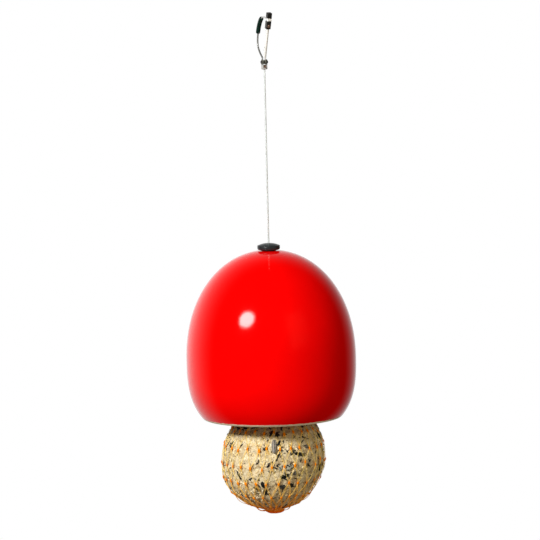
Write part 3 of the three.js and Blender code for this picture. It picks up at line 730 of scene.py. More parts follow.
def make_frame():
    step = 0.35
    leg, shoulder, over, tip = frame_runs()
    path = spaced(joined(leg, shoulder, over, tip), step)
    way = xz(-math.sin(FOOT_LEAN), math.cos(FOOT_LEAN))
    bow = eyed_wire("clip_wire", way, -EYE_ASIDE, path, FRAME_WIRE / 2, 20, spring_steel)
    place(bow, "clip", "polished_steel", "clip_frame")

    along = spaced(joined(leg, shoulder), step)
    first = int((SLEEVE_SET_BACK + SLEEVE_LENGTH) / step)
    last = int(SLEEVE_SET_BACK / step)
    run = along[-first:-last]
    inner = FRAME_WIRE / 2 + RUN_GAP
    outer = inner + SLEEVE_WALL
    ends = [outer - 0.2, outer - 0.06]
    radii = ends + [outer] * (len(run) - 4) + ends[::-1]
    sleeve = new_object("sleeve", *tube(run, lambda i: circle(radii[i], 24)), green, 50)
    bore = tube(along[-first - 3 : -last + 3], lambda i: circle(inner, 24))
    combine(sleeve, new_object("bore", *bore, green), "DIFFERENCE")
    place(sleeve, "clip", "green_sleeve", "branch_sleeve")


def make_base():
    flare_low, flare_top, soft, neck = 1.25, 0.85, 0.45, FLOOR_TOP + 0.3
    inside = BASE_RADIUS - soft
    outline = [(flare_low, BASE_LOW), (inside - 0.05, BASE_LOW)]
    outline += rounded(inside, BASE_LOW + soft, range(-80, 1, 16), soft)
    for back, drop in ((0, 0.25), (0.08, 0.07), (0.25, 0)):
        outline.append((BASE_RADIUS - back, BASE_TOP - drop))
    outline += [(0, BASE_TOP), (0, neck), (flare_top, neck), (flare_top, FLOOR_TOP)]
    base = turned("clip_foot", outline, 64, base_steel)
    reach, rise = 3, FLOOR_TOP + 7
    corners = [(-reach, FLOOR_TOP), (reach, FLOOR_TOP), (reach, rise), (-reach, rise)]
    combine(base, prism("fork", corners, FORK_GAP, base_steel), "DIFFERENCE")
    place(base, "clip", "polished_steel", "clip_base")
    pin = rivet("hinge_pin", 0.5, BASE_RADIUS, 0.35, dark_steel)
    place(shift(pin, to_hinge), "clip", "dark_steel", "hinge_rivet")


def make_latch():
    rod_end, pin_rise = 23, 1.9
    rod = curve(46, hinge, hinge + arm_way * rod_end)
    arm = eyed_wire("latch_rod", arm_way, EYE_ASIDE, rod, ARM_ROD / 2, 24, steel_with_painted_reflection)
    place(arm, "latch", "polished_steel", "latch_arm")

    lean = to_hinge @ Matrix.Rotation(LATCH_LEAN, 4, "Y")
    low, top, right = ARM_REACH - HEAD_BELOW, ARM_REACH + HEAD_ABOVE, HEAD_WIDTH / 2
    gap, inside = FRAME_WIRE / 2 + SEAT_GAP, right - HEAD_WEB
    slot_top, slot_low = ARM_REACH + gap, ARM_REACH - gap
    corners = [(-right, low), (right, low), (right, top), (-right, top)]
    corners += [(-right, slot_top), (inside, slot_top), (inside, slot_low), (-right, slot_low)]
    head = prism("latch_block", corners, HEAD_DEPTH, dark_steel)
    round_edges(head, 0.32, 4)
    place(shift(head, lean), "latch", "dark_steel", "latch_head")
    pin = rivet("latch_pin", 0.3, right, 0.7, copper)
    to_rivet = Matrix.Translation(up * (low + pin_rise) * MM) @ Matrix.Rotation(math.pi / 2, 4, "Z")
    place(shift(pin, to_rivet, lean), "latch", "copper", "latch_rivet")


def rivet(name, shank, half, wall, material):
    """A rivet along Y with low domed heads."""
    head, inner, rise, edge = shank + wall, half + 0.125, 0.35, 0.1
    half_outline = [(shank, 0), (shank, inner), (head, inner)]
    half_outline += rounded(0, inner + edge, range(0, 90, 15), head, rise - edge) + [(0, inner + rise)]
    outline = [(r, -z) for r, z in reversed(half_outline[1:])] + half_outline
    return shift(turned(name, outline, 32, material), on_y)


make_frame()
make_base()
make_latch()


# Fittings on the rope


def crimped(low, top, count, radius, rounding, reach, pinches, width):
    """Heights up a crimped sleeve, with its radius and how hard it is pinched there."""
    length = top - low
    for t in shares(count):
        edge = min(t, 1 - t) * length
        r = radius - rounding * max(0.0, 1 - edge / reach) ** 2
        yield low + length * t, r, sum(math.exp(-(((t - c) * length / width) ** 4)) for c in pinches)


def oval_sleeve(name, levels, leg, sides, dent):
    """A sleeve round two runs of cord, dented across where it is pinched."""
    vertices = []
    levels = list(levels)
    for z, r, pinch in levels:
        for c, s in circle(1, sides):
            x = math.copysign(leg, c) + r * c
            vertices.append((x, (r - dent(x) * pinch) * s, z))
    return new_object(name, vertices, skin(len(levels), sides), alloy)


def make_rope_fittings():
    ball = rounded(0, ROPE_BALL_Z, range(-44, 45, 8), ROPE_BALL)
    place(turned("swaged_ball", ball, 40, copper), "rope_end", "copper", "rope_end_ball")

    bore, dent = 0.55, 0.16
    levels = crimped(STOP_LOW, STOP_TOP, 60, STOP_RADIUS, 0.25, 0.3, (0.28, 0.5, 0.72), 0.42)
    outline = [(bore, STOP_LOW)] + [(r - dent * pinch, z) for z, r, pinch in levels] + [(bore, STOP_TOP)]
    place(turned("stop_sleeve", outline, 48, alloy), "rope", "aluminium", "stop_ferrule")

    levels = crimped(FERRULE_LOW, FERRULE_TOP, 40, FERRULE_RADIUS, 0.22, 0.35, (0.27, 0.73), 0.6)
    sleeve = oval_sleeve("eye_sleeve", levels, LEG_X, 40, lambda x: 0.22)
    place(sleeve, "rope", "aluminium", "eye_ferrule")

    outer = 5
    half = [(ROPE_BORE, 0.1), (ROPE_BORE + 0.1, 0), (outer - 0.2, 0), (outer - 0.05, 0.08), (outer, 0.2)]
    washer = turned("washer", both_sides(half, WASHER_LOW, WASHER_TOP), 72, steel)
    place(washer, "washer", "polished_steel", "bearing_washer")

    eye, foot = yz(-HOOK_EYE, HOOK_EYE_Z), yz(HOOK_BEND, HOOK_BEND_Z)
    pull = 0.43
    ease = up * (HOOK_EYE_Z - HOOK_BEND_Z) * pull
    path = joined(
        arc(yz(0, HOOK_EYE_Z), HOOK_EYE, -85, 180, along_y, 48),
        curve(40, eye, eye - ease, foot + ease, foot),
        arc(yz(0, HOOK_BEND_Z), HOOK_BEND, 0, -200, along_y, 44),
    )
    place(wire("hook", path, HOOK_WIRE, 24, steel), "hook", "polished_steel", "ball_hook")


make_rope_fittings()


# The dome and its grommet


def superellipse(angle, power):
    return math.sin(angle) ** (2 / power), math.cos(angle) ** (2 / power)


def dome_face():
    """Radius and depth pairs down the outer face: a full crown, then drawn in to the rim."""
    crown, skirt = 2.1, 2.8
    first = math.asin((DOME_HOLE / DOME_RADIUS) ** (crown / 2))
    pairs = []
    for t in shares(60):
        s, c = superellipse(first + (math.pi / 2 - first) * t, crown)
        pairs.append((DOME_RADIUS * s, DOME_SHOULDER * (1 - c)))
    drawn_in = 1 - RIM_SHARE**skirt
    last = math.asin(math.sqrt(drawn_in))
    reach = (DOME_TOP - RIM_Z - DOME_SHOULDER) / drawn_in ** (1 / skirt)
    for t in shares(40)[1:]:
        s, c = superellipse(last * t, skirt)
        pairs.append((DOME_RADIUS * c, DOME_SHOULDER + reach * s))
    return pairs


def dome_outline():
    """Radius and height pairs of the shell, down its outer face, round the rim and up inside."""
    height = DOME_TOP - RIM_Z
    outer = dome_face()
    inner = []
    for a, p, b in zip(outer, outer[1:], outer[2:]):
        length = math.hypot(b[0] - a[0], b[1] - a[1])
        r = p[0] - DOME_WALL * (b[1] - a[1]) / length
        d = p[1] + DOME_WALL * (b[0] - a[0]) / length
        if r > DOME_HOLE + 0.3 and d < height - 2.4 * RIM_ROUND:
            inner.append((r, d))
    rim = outer[-1][0]
    (r0, d0), (r1, d1) = inner[-2:]
    lip = r1 + (r1 - r0) * (height - d1) / (d1 - d0)
    body = [p for p in outer if p[1] < height - RIM_ROUND]
    edge = body[0][1]

    def corner(*pairs):
        return curve(8, *[Vector(p) for p in pairs])

    outline = [(DOME_HOLE, edge + 0.4), (DOME_HOLE + 0.05, edge + 0.12), (DOME_HOLE + 0.25, edge + 0.02)]
    outline += body[2:-1]
    outline += corner(body[-1], (rim, height), (rim - RIM_ROUND, height))
    outline += corner((lip + 2 * RIM_ROUND, height), (lip, height), (r1, d1))
    outline += inner[-2::-1] + [(DOME_HOLE, DOME_WALL)]
    return [(r, DOME_TOP - d) for r, d in outline]


def grommet_outline():
    """Radius and height pairs from the bore over the low crown of the cap, the stem and the flange."""
    cap, stem, flange, bore = GROMMET_CAP, GROMMET_STEM, GROMMET_FLANGE, ROPE_BORE
    top_round, low_round, crown, mouth = 0.6, 0.4, 1.15, ROPE_BORE + 0.3
    shoulder, edge = cap - top_round, GROMMET_TOP - crown
    outline = [(bore, GROMMET_TOP - 0.25), (bore + 0.1, GROMMET_TOP - 0.08), (mouth, GROMMET_TOP)]
    for t in shares(16)[1:]:
        outline.append((mouth + (shoulder - mouth) * t, GROMMET_TOP - crown * t**2))
    side_top, side_low = edge - top_round, CAP_LOW + low_round
    outline += rounded(shoulder, side_top, range(60, 14, -9), top_round)
    for t in shares(8):
        outline.append((cap - 0.16 * (2 * t - 0.9) ** 2, side_top + (side_low - side_top) * t))
    outline += rounded(cap - 0.2 - low_round, side_low, range(-20, -91, -14), low_round)
    outline += [(stem, CAP_LOW), (stem, FLANGE_TOP), (flange - 0.2, FLANGE_TOP), (flange, FLANGE_TOP - 0.2)]
    outline += [(flange, FLANGE_LOW + 0.9), (flange - 0.2, FLANGE_LOW + 0.55), (flange - 0.9, FLANGE_LOW)]
    return outline + [(bore + 0.15, FLANGE_LOW), (bore, FLANGE_LOW + 0.15)]


place(turned("dome", dome_outline(), 160, red, 50), "dome", "red_glaze", "dome_shell")
place(turned("grommet", grommet_outline(), 96, black), "dome", "grey_rubber", "top_grommet")


# The fat ball


def ball_radius_height(latitude, lift=0.0):
    a = rad(abs(latitude))
    reach, power = (BALL_UPPER, 2 / BALL_FULLNESS) if latitude > 0 else (-BALL_LOWER, 1.0)
    r = BALL_WIDE * math.cos(a) ** power
    h = reach * math.sin(a) ** power
    stretch = 1 + lift / math.hypot(r, h)
    return r * stretch, h * stretch


def ball_place(latitude, longitude, lift=0.0):
    """A point on the ball, whose top leans to the right in the picture and whose lower half to the left."""
    top_lean, low_lean = 1.6, 1.5
    r, h = ball_radius_height(latitude, lift)
    depth = min(1.0, max(0.0, -h / BALL_LOWER))
    lean = top_lean * max(0.0, h / BALL_UPPER) ** 1.5 - low_lean * math.sin(math.pi * depth**1.3)
    return Vector((r * math.cos(longitude), r * math.sin(longitude), BALL_Z + h)) + image_right * lean


def fuller(latitude):
    """How much the fat swells out above its widest place, where the net holds it."""
    most, starts, full = 0.6, 10, 30
    return most * min(1.0, max(0.0, (latitude - starts) / (full - starts)))


def front_place(right, rise):
    """Latitude and longitude where the camera meets the ball, so far right of its middle and above it."""
    tilt = math.atan2(CAMERA_HEIGHT - BALL_Z * MM, VIEW_DISTANCE)
    h = rise
    for _ in range(12):
        reach, power = (BALL_UPPER, BALL_FULLNESS) if h > 0 else (BALL_LOWER, 2.0)
        share = min(abs(h) / reach, 0.995)
        r = BALL_WIDE * (1 - share**power) ** (1 / power)
        front = math.sqrt(max(r * r - right * right, 1.0))
        h = (rise + front * math.sin(tilt)) / math.cos(tilt)
    latitude = math.copysign(math.degrees(math.asin(share ** (power / 2))), h)
    spot = toward_camera * front + image_right * right
    return latitude, math.atan2(spot.y, spot.x)


def lump(p):
    """How far the crumbly surface stands out or falls back at a point, in millimetres."""
    wide = noise.noise(p * 0.14)
    fine = noise.noise(p * 0.45 + Vector((7, 3, 1)))
    return 0.55 * wide + 0.35 * fine - 0.1


def make_fat():
    rows, columns = 110, 180
    foot, top = up * (BALL_Z - BALL_LOWER + 0.2), up * (BALL_Z + BALL_UPPER - 0.2)
    vertices = [foot] * columns
    for i in range(1, rows):
        latitude = -90 + 180 * i / rows
        for k in range(columns):
            p = ball_place(latitude, TURN * k / columns)
            vertices.append(p + (p - ball_center).normalized() * (lump(p) + fuller(latitude)))
    vertices += [top] * columns
    fat = new_object("fat", vertices, skin(rows + 1, columns, capped=False), suet(), 180)
    place(fat, "ball", "fat_and_seeds", "fat_ball")


def seed_shape(length, width, thick, point, around, along):
    """A seed lying along X: fuller at one end, drawn to a point at the other."""
    widest = 0.35
    vertices = []
    marks = []
    for t in shares(along):
        x = -math.cos(math.pi * t) * length / 2
        taper = point * (t - widest) * (1 if t > widest else 0.4)
        swell = math.sin(math.pi * t) ** 0.8 * (1 - taper) / 2
        for k in range(around):
            a = TURN * (k + 0.5) / around - math.pi / 2
            vertices.append(Vector((x, width * swell * math.cos(a), thick * swell * math.sin(a))))
            marks.append((t, k / (around - 1)))
    return vertices, marks, skin(along + 1, around, capped=False)


def scattered(total, chance):
    """Even places over the ball with a little disorder, as latitude and longitude."""
    golden = math.pi * (3 - math.sqrt(5))
    for i in range(total):
        latitude = math.degrees(math.asin(1 - 2 * (i + 0.5) / total)) + chance.uniform(-2.2, 2.2)
        yield max(-86, min(86, latitude)), i * golden + chance.uniform(-0.06, 0.06)


class Heap:
    """Many small shapes in one mesh, with the marks that its material reads."""

    def __init__(self):
        self.vertices = []
        self.faces = []
        self.places = []

    def add(self, vertices, faces, places):
        start = len(self.vertices)
        self.vertices += vertices
        self.faces += [tuple(start + v for v in face) for face in faces]
        self.places += places

    def tube(self, points, section, mark):
        vertices, faces = tube(points, section)
        ring = len(vertices) // len(points)
        self.add(vertices, faces, [(mark(i), 0, 0) for i in range(len(points)) for _ in range(ring)])

    def blob(self, center, out, half_wide, half_tall, half_thick):
        """A rounded drop on a surface that faces out."""
        around, along = 8, 6
        east = up.cross(out).normalized()
        north = out.cross(east)
        vertices = []
        for a in (math.pi * t for t in shares(along)):
            level = center - north * half_tall * math.cos(a)
            for x, y in circle(max(math.sin(a), 0.02), around):
                vertices.append(level + east * half_wide * x + out * half_thick * y)
        self.add(vertices, skin(along + 1, around), [(1, 0, 0)] * len(vertices))

    def object(self, name, material, sharp=60):
        return new_object(name, self.vertices, self.faces, material, sharp, self.places)


class Seeds(Heap):
    """Seeds of one kind, pressed into the ball."""

    def __init__(self, shape, seed, ragged=0.3):
        super().__init__()
        self.outline, self.marks, self.outline_faces = shape
        self.chance = random.Random(seed)
        self.ragged = ragged

    def press(self, latitude, longitude, scale, rise, heading, tone):
        """One seed with its own size along, across and through, turned from level by the heading."""
        p = ball_place(latitude, longitude)
        out = (ball_place(latitude, longitude, 1.0) - p).normalized()
        east = up.cross(out).normalized()
        along = east * math.cos(heading) + out.cross(east) * math.sin(heading)
        turn = Matrix((along, out.cross(along), out)).transposed()
        # Seeds of the highest tones lie flatter and are less ragged.
        calm = 0.25 if tone > 0.9 else 1.0
        pitch = calm * self.chance.gauss(0, 0.2)
        roll = calm * self.chance.gauss(0, 0.35)
        turn = turn @ Matrix.Rotation(pitch, 3, "Y") @ Matrix.Rotation(roll, 3, "X") @ Matrix.Diagonal(scale)
        drift = Vector((self.chance.uniform(-50, 50), self.chance.uniform(-50, 50), 0))
        ragged = self.ragged * calm
        placed = [turn @ (v * (1 + ragged * noise.noise(v * 0.55 + drift))) for v in self.outline]
        highest = max(v.dot(out) for v in placed)
        move = p + out * (rise + fuller(latitude) - highest)
        marks = [(t, around, tone) for t, around in self.marks]
        self.add([v + move for v in placed], self.outline_faces, marks)

    def scatter(self, total, sizes, rises, tones=1.0, bare=None):
        """Seeds all over the ball, with few of them round a bare place."""
        bare_radius, left_out = 13, 0.75
        for latitude, longitude in scattered(total, self.chance):
            near = bare is not None and (ball_place(latitude, longitude) - bare).length < bare_radius
            if near and self.chance.random() < left_out:
                continue
            size = self.chance.uniform(*sizes)
            heading = self.chance.uniform(0, TURN)
            rise = self.chance.uniform(*rises)
            self.press(latitude, longitude, (size, size, size), rise, heading, self.chance.random() * tones)

    def finish(self, name, material):
        place(self.object(name, material, 180), "ball", "fat_and_seeds")


# Husks on the ball's near side: right of its middle, above it, length, width, heading in degrees and tone
NEAR_HUSKS = [
    (-2.1, 15.5, 4.4, 3.4, 80, 0.1), (1.9, 14.4, 2.8, 2.3, 20, 0.1), (3.7, 17.2, 4.8, 1.4, 70, 0.3),
    (17.2, 17.8, 6.2, 4.0, 80, 0.1), (16.0, 12.8, 3.2, 1.2, -30, 0.2), (0.0, 9.4, 11.0, 2.8, 88, 0.95),
    (2.8, 9.7, 2.8, 1.8, 60, 0.15), (-5.1, 6.5, 2.8, 1.5, 45, 0.3), (5.3, 5.1, 4.2, 3.1, 30, 0.7),
    (11.8, 4.6, 5.2, 1.2, 45, 0.35), (15.5, 2.8, 5.6, 2.5, -15, 0.05), (2.3, 1.4, 4.6, 1.4, 60, 0.3),
    (3.2, -4.6, 4.8, 3.7, 0, 0.72), (9.5, -4.4, 4.4, 3.5, 20, 0.7), (7.4, -10.4, 4.8, 3.8, 15, 0.1),
    (-6.7, -13.0, 6.8, 2.4, -62, 0.05), (-8.6, -17.2, 5.0, 1.5, -45, 0.1), (6.5, -16.0, 4.2, 2.7, 20, 0.45),
    (11.1, -15.1, 2.8, 2.1, 0, 0.3), (-3.5, -18.6, 4.4, 2.7, 75, 0.35), (-20.0, -8.8, 6.0, 1.1, -58, 0.2),
    (-23.9, 10.2, 5.0, 1.0, 85, 0.25), (25.3, 14.4, 5.4, 1.2, 80, 0.2), (28.0, 6.3, 2.0, 1.5, 40, 0.05),
    (20.9, -1.9, 3.4, 2.3, 60, 0.6), (27.0, -3.7, 5.0, 1.5, 70, 0.25), (-13.7, -5.6, 1.5, 1.0, 50, 0.1),
    (-13.0, -11.1, 2.1, 1.3, 30, 0.2), (-18.8, -22.0, 2.0, 1.2, 10, 0.2), (-9.5, -1.9, 1.5, 0.8, 10, 0.3),
    (-3.2, -3.7, 2.1, 1.1, 40, 0.25), (13.0, -8.0, 3.0, 1.6, 70, 0.55), (19.0, 7.5, 2.6, 1.6, 50, 0.6),
    # Painted shadow: these three dark husks in a row under the rim at the upper left darken the ball where
    # the rim shades it.
    (-20.0, 18.0, 5.0, 1.6, 5, 0.1), (-15.5, 18.6, 5.4, 2.0, 0, 0.1), (-10.5, 18.8, 5.0, 1.8, 5, 0.1),
]


def make_husks(material):
    """Sunflower husks: those that show, with chips beside them, and clumps round the far side."""
    length, width, thick = 7.0, 3.5, 2.2
    clumps, near_side = 44, 6
    husks = Seeds(seed_shape(length, width, thick, 0.6, 14, 9), 17, 0.6)
    chance = husks.chance
    for right, rise, long, wide, heading, tone in NEAR_HUSKS:
        scale = (1.15 * long / length, 1.2 * wide / width, min(1.0, 0.35 + wide / width * 0.5))
        husks.press(*front_place(right, rise), scale, chance.uniform(0.55, 0.8), rad(heading), tone)
        for _ in range(4 if wide > 1.6 else 2):
            chip = chance.uniform(0.12, 0.28)
            spot = front_place(right + chance.gauss(0, long * 0.3), rise + chance.gauss(0, long * 0.3))
            turn = rad(heading) + chance.gauss(0, 0.7)
            lift = chance.uniform(0.4, 0.7)
            husks.press(*spot, (chip * 1.5, chip, chip), lift, turn, chance.uniform(0, 0.5))
    for latitude, longitude in scattered(clumps, chance):
        if ball_place(latitude, longitude).dot(toward_camera) > near_side:
            continue
        for _ in range(chance.randint(2, 5)):
            size = chance.uniform(0.3, 0.95)
            spot = max(-84, min(84, latitude + chance.gauss(0, 7))), longitude + chance.gauss(0, 0.13)
            scale = (size, size * chance.uniform(0.5, 1.1), size)
            lift = chance.uniform(0.5, 0.8)
            husks.press(*spot, scale, lift, chance.uniform(0, 6.3), chance.random())
    husks.finish("husks", material)


def make_all_seeds():
    crumb = pale_seed("crumb", (0.92, 0.8, 0.51), (0.78, 0.62, 0.335), (0.42, 0.29, 0.13))
    grain = pale_seed("grain", (0.81, 0.65, 0.36), (0.67, 0.49, 0.24), (0.34, 0.22, 0.08))
    husk = dark_seed()
    crumbs = Seeds(seed_shape(2.7, 2.0, 1.5, 0.2, 8, 5), 3)
    crumbs.scatter(2300, (0.45, 1.1), (-0.35, 0.4))
    crumbs.finish("crumbs", crumb)
    grains = Seeds(seed_shape(4.6, 2.3, 1.8, 0.25, 10, 7), 11)
    grains.scatter(300, (0.5, 1.0), (-0.3, 0.45))
    grains.finish("grains", grain)
    make_husks(husk)
    slivers = Seeds(seed_shape(3.0, 0.7, 0.6, 0.4, 6, 6), 23)
    slivers.scatter(560, (0.3, 0.95), (0.3, 0.7), 0.5, ball_place(*front_place(-15.5, 4.0)))
    slivers.finish("slivers", husk)


# The net


def walk_along(way):
    """Latitudes from the ball's widest place in half degrees, with their distance along its surface."""
    found = [(0.0, 0.0)]
    for i in range(1, 181):
        r0, h0 = ball_radius_height(way * (i - 1) / 2)
        r1, h1 = ball_radius_height(way * i / 2)
        found.append((way * i / 2, found[-1][1] + math.hypot(r1 - r0, h1 - h0)))
    return found


def net_latitudes():
    above, below = walk_along(1), walk_along(-1)
    spacing = below[-1][1] / NET_TO_FOOT
    for row in range(NET_ABOVE, -NET_BELOW - 1, -1):
        yield next(a for a, distance in (above if row > 0 else below) if distance >= abs(row) * spacing)


def net_knots():
    """Places of the knots, row by row from the collar under the top clip down to the gather."""
    chance = random.Random(5)
    rows = [[Vector((x, y, COLLAR_Z)) for x, y in circle(COLLAR_RADIUS, NET_COLUMNS)]]
    latitudes = list(net_latitudes())
    for row, latitude in enumerate(latitudes, 1):
        calm = row == len(latitudes)
        ring = []
        for column in range(NET_COLUMNS):
            longitude = TURN * (column + (row % 2) / 2) / NET_COLUMNS
            wobble = 0.0 if calm else chance.gauss(0, 0.02)
            drop = 0.0 if calm else chance.gauss(0, 1.1)
            ring.append(ball_place(latitude + drop, longitude + wobble, 0.9 + chance.uniform(-0.1, 0.15)))
        rows.append(ring)
    return rows


class Net(Heap):
    """Each strand is three fine drawn filaments, and each knot a thick drop of plastic."""

    knot_half = (0.74, 1.04, 0.42)
    loose_share, loose_lift, tight_lift = 0.14, (0.6, 1.4), -0.2

    def __init__(self):
        super().__init__()
        self.chance = random.Random(9)
        self.slackness = random.Random(31)

    def filament(self, a, b, on_ball, lift, sway, waist, color):
        """A thread that thickens towards the knots at its ends and bows aside between them."""
        points = []
        near_knot = [abs(2 * t - 1) for t in shares(6)]
        for t in shares(6):
            bow = math.sin(math.pi * t)
            p = a.lerp(b, t)
            if on_ball:
                reach = (a - ball_center).length * (1 - t) + (b - ball_center).length * t
                p = ball_center + (p - ball_center).normalized() * (reach + lift * bow)
            points.append(p + up.cross(p - ball_center).normalized() * sway * bow)
        sizes = [waist + 0.12 * near**2.5 for near in near_knot]
        self.tube(points, lambda i: circle(sizes[i], 5), lambda i: max(color, 0.7 * near_knot[i] ** 3))

    def strand(self, a, b, on_ball, color, waist):
        slack = self.chance.uniform(-0.45, 0.45)
        apart = self.chance.uniform(0.25, 0.6)
        lift = self.tight_lift
        if on_ball and a.z < BALL_Z + 2 and self.slackness.random() < self.loose_share:
            lift = self.slackness.uniform(*self.loose_lift)
        for side in (-1, self.chance.uniform(-0.4, 0.4), 1):
            fine = waist * self.chance.uniform(0.8, 1.25)
            self.filament(a, b, on_ball, lift, slack + side * apart, fine, color)

    def knot(self, p, grow):
        self.blob(p, (p - ball_center).normalized(), *[half * grow for half in self.knot_half])


def make_net():
    """Strands between the rows of knots, which grow thicker and darker towards the gather."""
    net = Net()
    rows = net_knots()
    last = len(rows) - 1
    for row in range(last):
        low = max(0.0, (row - last + 4) / 4)
        for column in range(NET_COLUMNS):
            for side in (0, -1):
                target = rows[row + 1][(column + row % 2 + side) % NET_COLUMNS]
                net.strand(rows[row][column], target, row > 0, 1.2 * low, 0.042 + 0.16 * low)
    for p in rows[-1]:
        net.strand(p, Vector((p.x * 0.8, p.y * 0.8, GATHER_TOP - 0.3)), False, 0.9, 0.2)
    for row, ring in enumerate(rows):
        for p in ring:
            net.knot(p, net.chance.uniform(0.85, 1.15) if 0 < row < last else 0.6)
    place(net.object("net", orange), "ball", "orange_net", "net_bag")


def make_net_loop():
    """The net's tail, drawn out into a loop over the hook."""
    fold = HOOK_WIRE + SEAT_GAP + LOOP_RADIUS
    half = (HOOK_LOW - CLIP_TOP) / 2
    end = COLLAR_Z - 0.6

    def side(way):
        leg = way * LOOP_LEG
        top = way * fold
        return xz(leg, CLIP_TOP), xz(leg, CLIP_TOP + half), xz(top, HOOK_LOW - half), xz(top, HOOK_LOW)

    path = joined(
        curve(6, xz(-LOOP_LEG, end), xz(-LOOP_LEG, CLIP_TOP)),
        curve(20, *side(-1)),
        arc(xz(0, HOOK_LOW), fold, 180, 0, along_x, 24),
        curve(20, *reversed(side(1))),
        curve(6, xz(LOOP_LEG, CLIP_TOP), xz(LOOP_LEG, end)),
    )
    points = spaced(path, 0.5)
    loop = Heap()
    section = laid(points, LOOP_RADIUS, lobes=7, per_lobe=6, pitch=11, groove=0.3)
    loop.tube(points, section, lambda i: 0.45)
    place(loop.object("net_loop", orange), "ball", "orange_net", "net_neck")


def make_net_clamp():
    levels = crimped(CLIP_LOW, CLIP_TOP, 24, CLIP_RADIUS, 0.2, 0.3, (0.5,), 0.8)
    clamp = oval_sleeve("net_clamp", levels, LOOP_LEG, 48, lambda x: 0.3 * math.exp(-((x / 1.2) ** 2)))
    place(clamp, "ball", "aluminium", "net_top_clip")


def make_tuft():
    """The gathered foot of the net: pleats that turn a little and draw in downwards."""
    pleats, per_pleat, twist = 22, 6, 0.06
    around = pleats * per_pleat
    deep = GATHER_TOP - GATHER_LOW
    profile = [(0.2, 0.0), (0.9, 0.0), (1.0, 0.1), (1.0, 0.3), (0.93, 0.5)]
    profile += [(0.82, 0.72), (0.72, 0.9), (0.66, 1.0), (0.4, 1.0), (0.14, 0.95)]
    tuft = Heap()
    vertices = []
    places = []
    for radius_share, depth_share in profile:
        r = GATHER_RADIUS * radius_share
        depth = deep * depth_share
        for k in range(around):
            a = TURN * k / around
            fold = across_lobe(k, per_pleat) ** 2
            sway = 0.12 * math.sin(3 * a + 1) + 0.08 * math.sin(7 * a)
            reach = r * (1 - 0.14 * min(1.0, r / 3) * fold) * (1 - 0.06 * (1 + sway * 4))
            a += twist * depth
            vertices.append(Vector((reach * math.cos(a), reach * math.sin(a), GATHER_TOP - depth)))
            places.append((1, 1 - 0.3 * fold, 0))
    tuft.add(vertices, skin(len(profile), around), places)
    place(tuft.object("net_tuft", orange), "ball", "orange_net", "net_bottom_gather")


make_fat()
make_all_seeds()
make_net()
make_net_loop()
make_net_clamp()
make_tuft()


# Light, background and floor

LAMP_AIM = Vector((0, 0, -0.2))
WARM = (1.0, 0.87, 0.6)
WHITE = (1, 1, 1, 1)
FLOOR_Z, FLOOR_RADIUS = -3.0, 0.3


def studio(front, right, height):
    return toward_camera * front + image_right * right + up * height


def area_light(name, direction, distance, size, power, shape="RECTANGLE", spin=0.0):
    data = bpy.data.lights.new(name, "AREA")
    data.shape = shape
    data.size, data.size_y = size
    data.energy = power
    return aimed(name, data, LAMP_AIM + direction.normalized() * distance, LAMP_AIM, rad(spin))


def make_lamps():
    """Soft lamps that don't show in the glaze, and one window that does, with a fainter edge round it."""
    key = area_light("key", studio(0.69, -0.52, 0.44), 1.0, (0.15, 0.12), 8.4)
    fill = area_light("fill", studio(0.75, 0.62, 0.38), 1.5, (0.8, 0.8), 4.6)
    bounce = area_light("bounce", studio(0.3, -0.2, -0.9), 1.4, (0.8, 0.8), 1.1)
    back = area_light("back", studio(-1, 0, 0.4), 1.5, (0.9, 0.9), 12)
    for lamp in (key, fill, bounce, back):
        lamp.visible_glossy = False
    for lamp in (fill, bounce):
        lamp.data.color = WARM
    window = studio(0.69, -0.52, 0.51)
    area_light("window", window, 1.0, (0.335, 0.228), 2.6, "ELLIPSE", 13)
    area_light("window_edge", window, 1.001, (0.41, 0.295), 1.05, "ELLIPSE", 13)


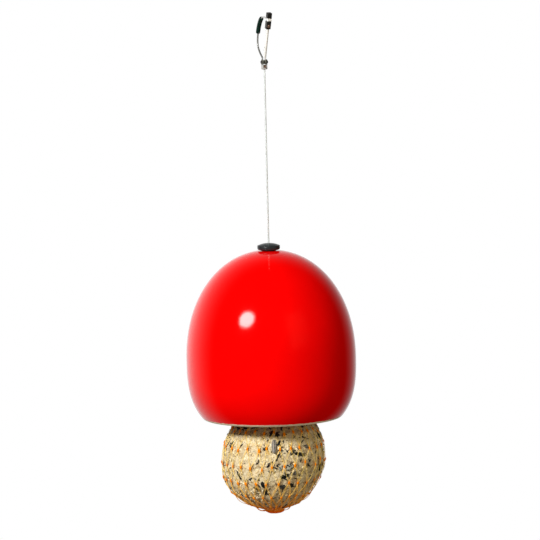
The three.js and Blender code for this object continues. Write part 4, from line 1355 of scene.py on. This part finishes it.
def make_world():
    """White to the camera; to the object a pale room that is darker on the camera's side."""
    world = bpy.data.worlds.new("studio")
    bpy.context.scene.world = world
    n = Nodes(world, "Generated", bare=True)
    path = n.add("ShaderNodeLightPath").outputs

    def background(color, strength):
        return n.add("ShaderNodeBackground", {"Color": color, "Strength": strength}).outputs[0]

    turn = rad(17)
    front = n.along(toward_camera * math.cos(turn) + image_right * math.sin(turn))
    wall = n.math("POWER", n.remap(front, -0.15, -0.95), 2.0)
    ceiling = n.remap(n.axis(2), 0.1, 0.95, 1.0, 0.3)
    room = background(WHITE, n.math("MULTIPLY", wall, ceiling))
    soft = background((1, 0.92, 0.76, 1), 0.2)
    lit = n.blend(path["Is Glossy Ray"], soft, room)
    seen = n.math("MAXIMUM", path["Is Camera Ray"], path["Is Transmission Ray"])
    n.add("ShaderNodeOutputWorld", {0: n.blend(seen, lit, background(WHITE, 1.0))})


def make_floor():
    """A pale round floor under the hanging feeder that fades to white at its edge."""
    work = bmesh.new()
    bmesh.ops.create_circle(work, cap_ends=True, segments=96, radius=FLOOR_RADIUS)
    mesh = bpy.data.meshes.new("floor")
    work.to_mesh(mesh)
    work.free()
    floor = in_scene("floor", mesh)
    floor.location.z = FLOOR_Z
    material = bpy.data.materials.new("pale_floor")
    n = Nodes(material, "Object", bare=True)
    path = n.add("ShaderNodeLightPath").outputs
    from_middle = n.measure("LENGTH", {0: n.where})
    edge = n.remap(from_middle, 0.1, FLOOR_RADIUS - 0.01, 0.55, 1.0, interpolation_type="SMOOTHSTEP")
    seen = n.math("MAXIMUM", path["Is Camera Ray"], path["Is Glossy Ray"])
    diffuse = n.add("ShaderNodeBsdfDiffuse", {"Color": (0.86, 0.86, 0.86, 1)}).outputs[0]
    glow = n.add("ShaderNodeEmission", {"Strength": 1.0}).outputs[0]
    surface = n.blend(n.math("MULTIPLY", seen, edge), diffuse, glow)
    n.add("ShaderNodeOutputMaterial", {0: surface})
    mesh.materials.append(material)


make_lamps()
make_world()
make_floor()
bpy.context.scene.view_settings.view_transform = "Standard"
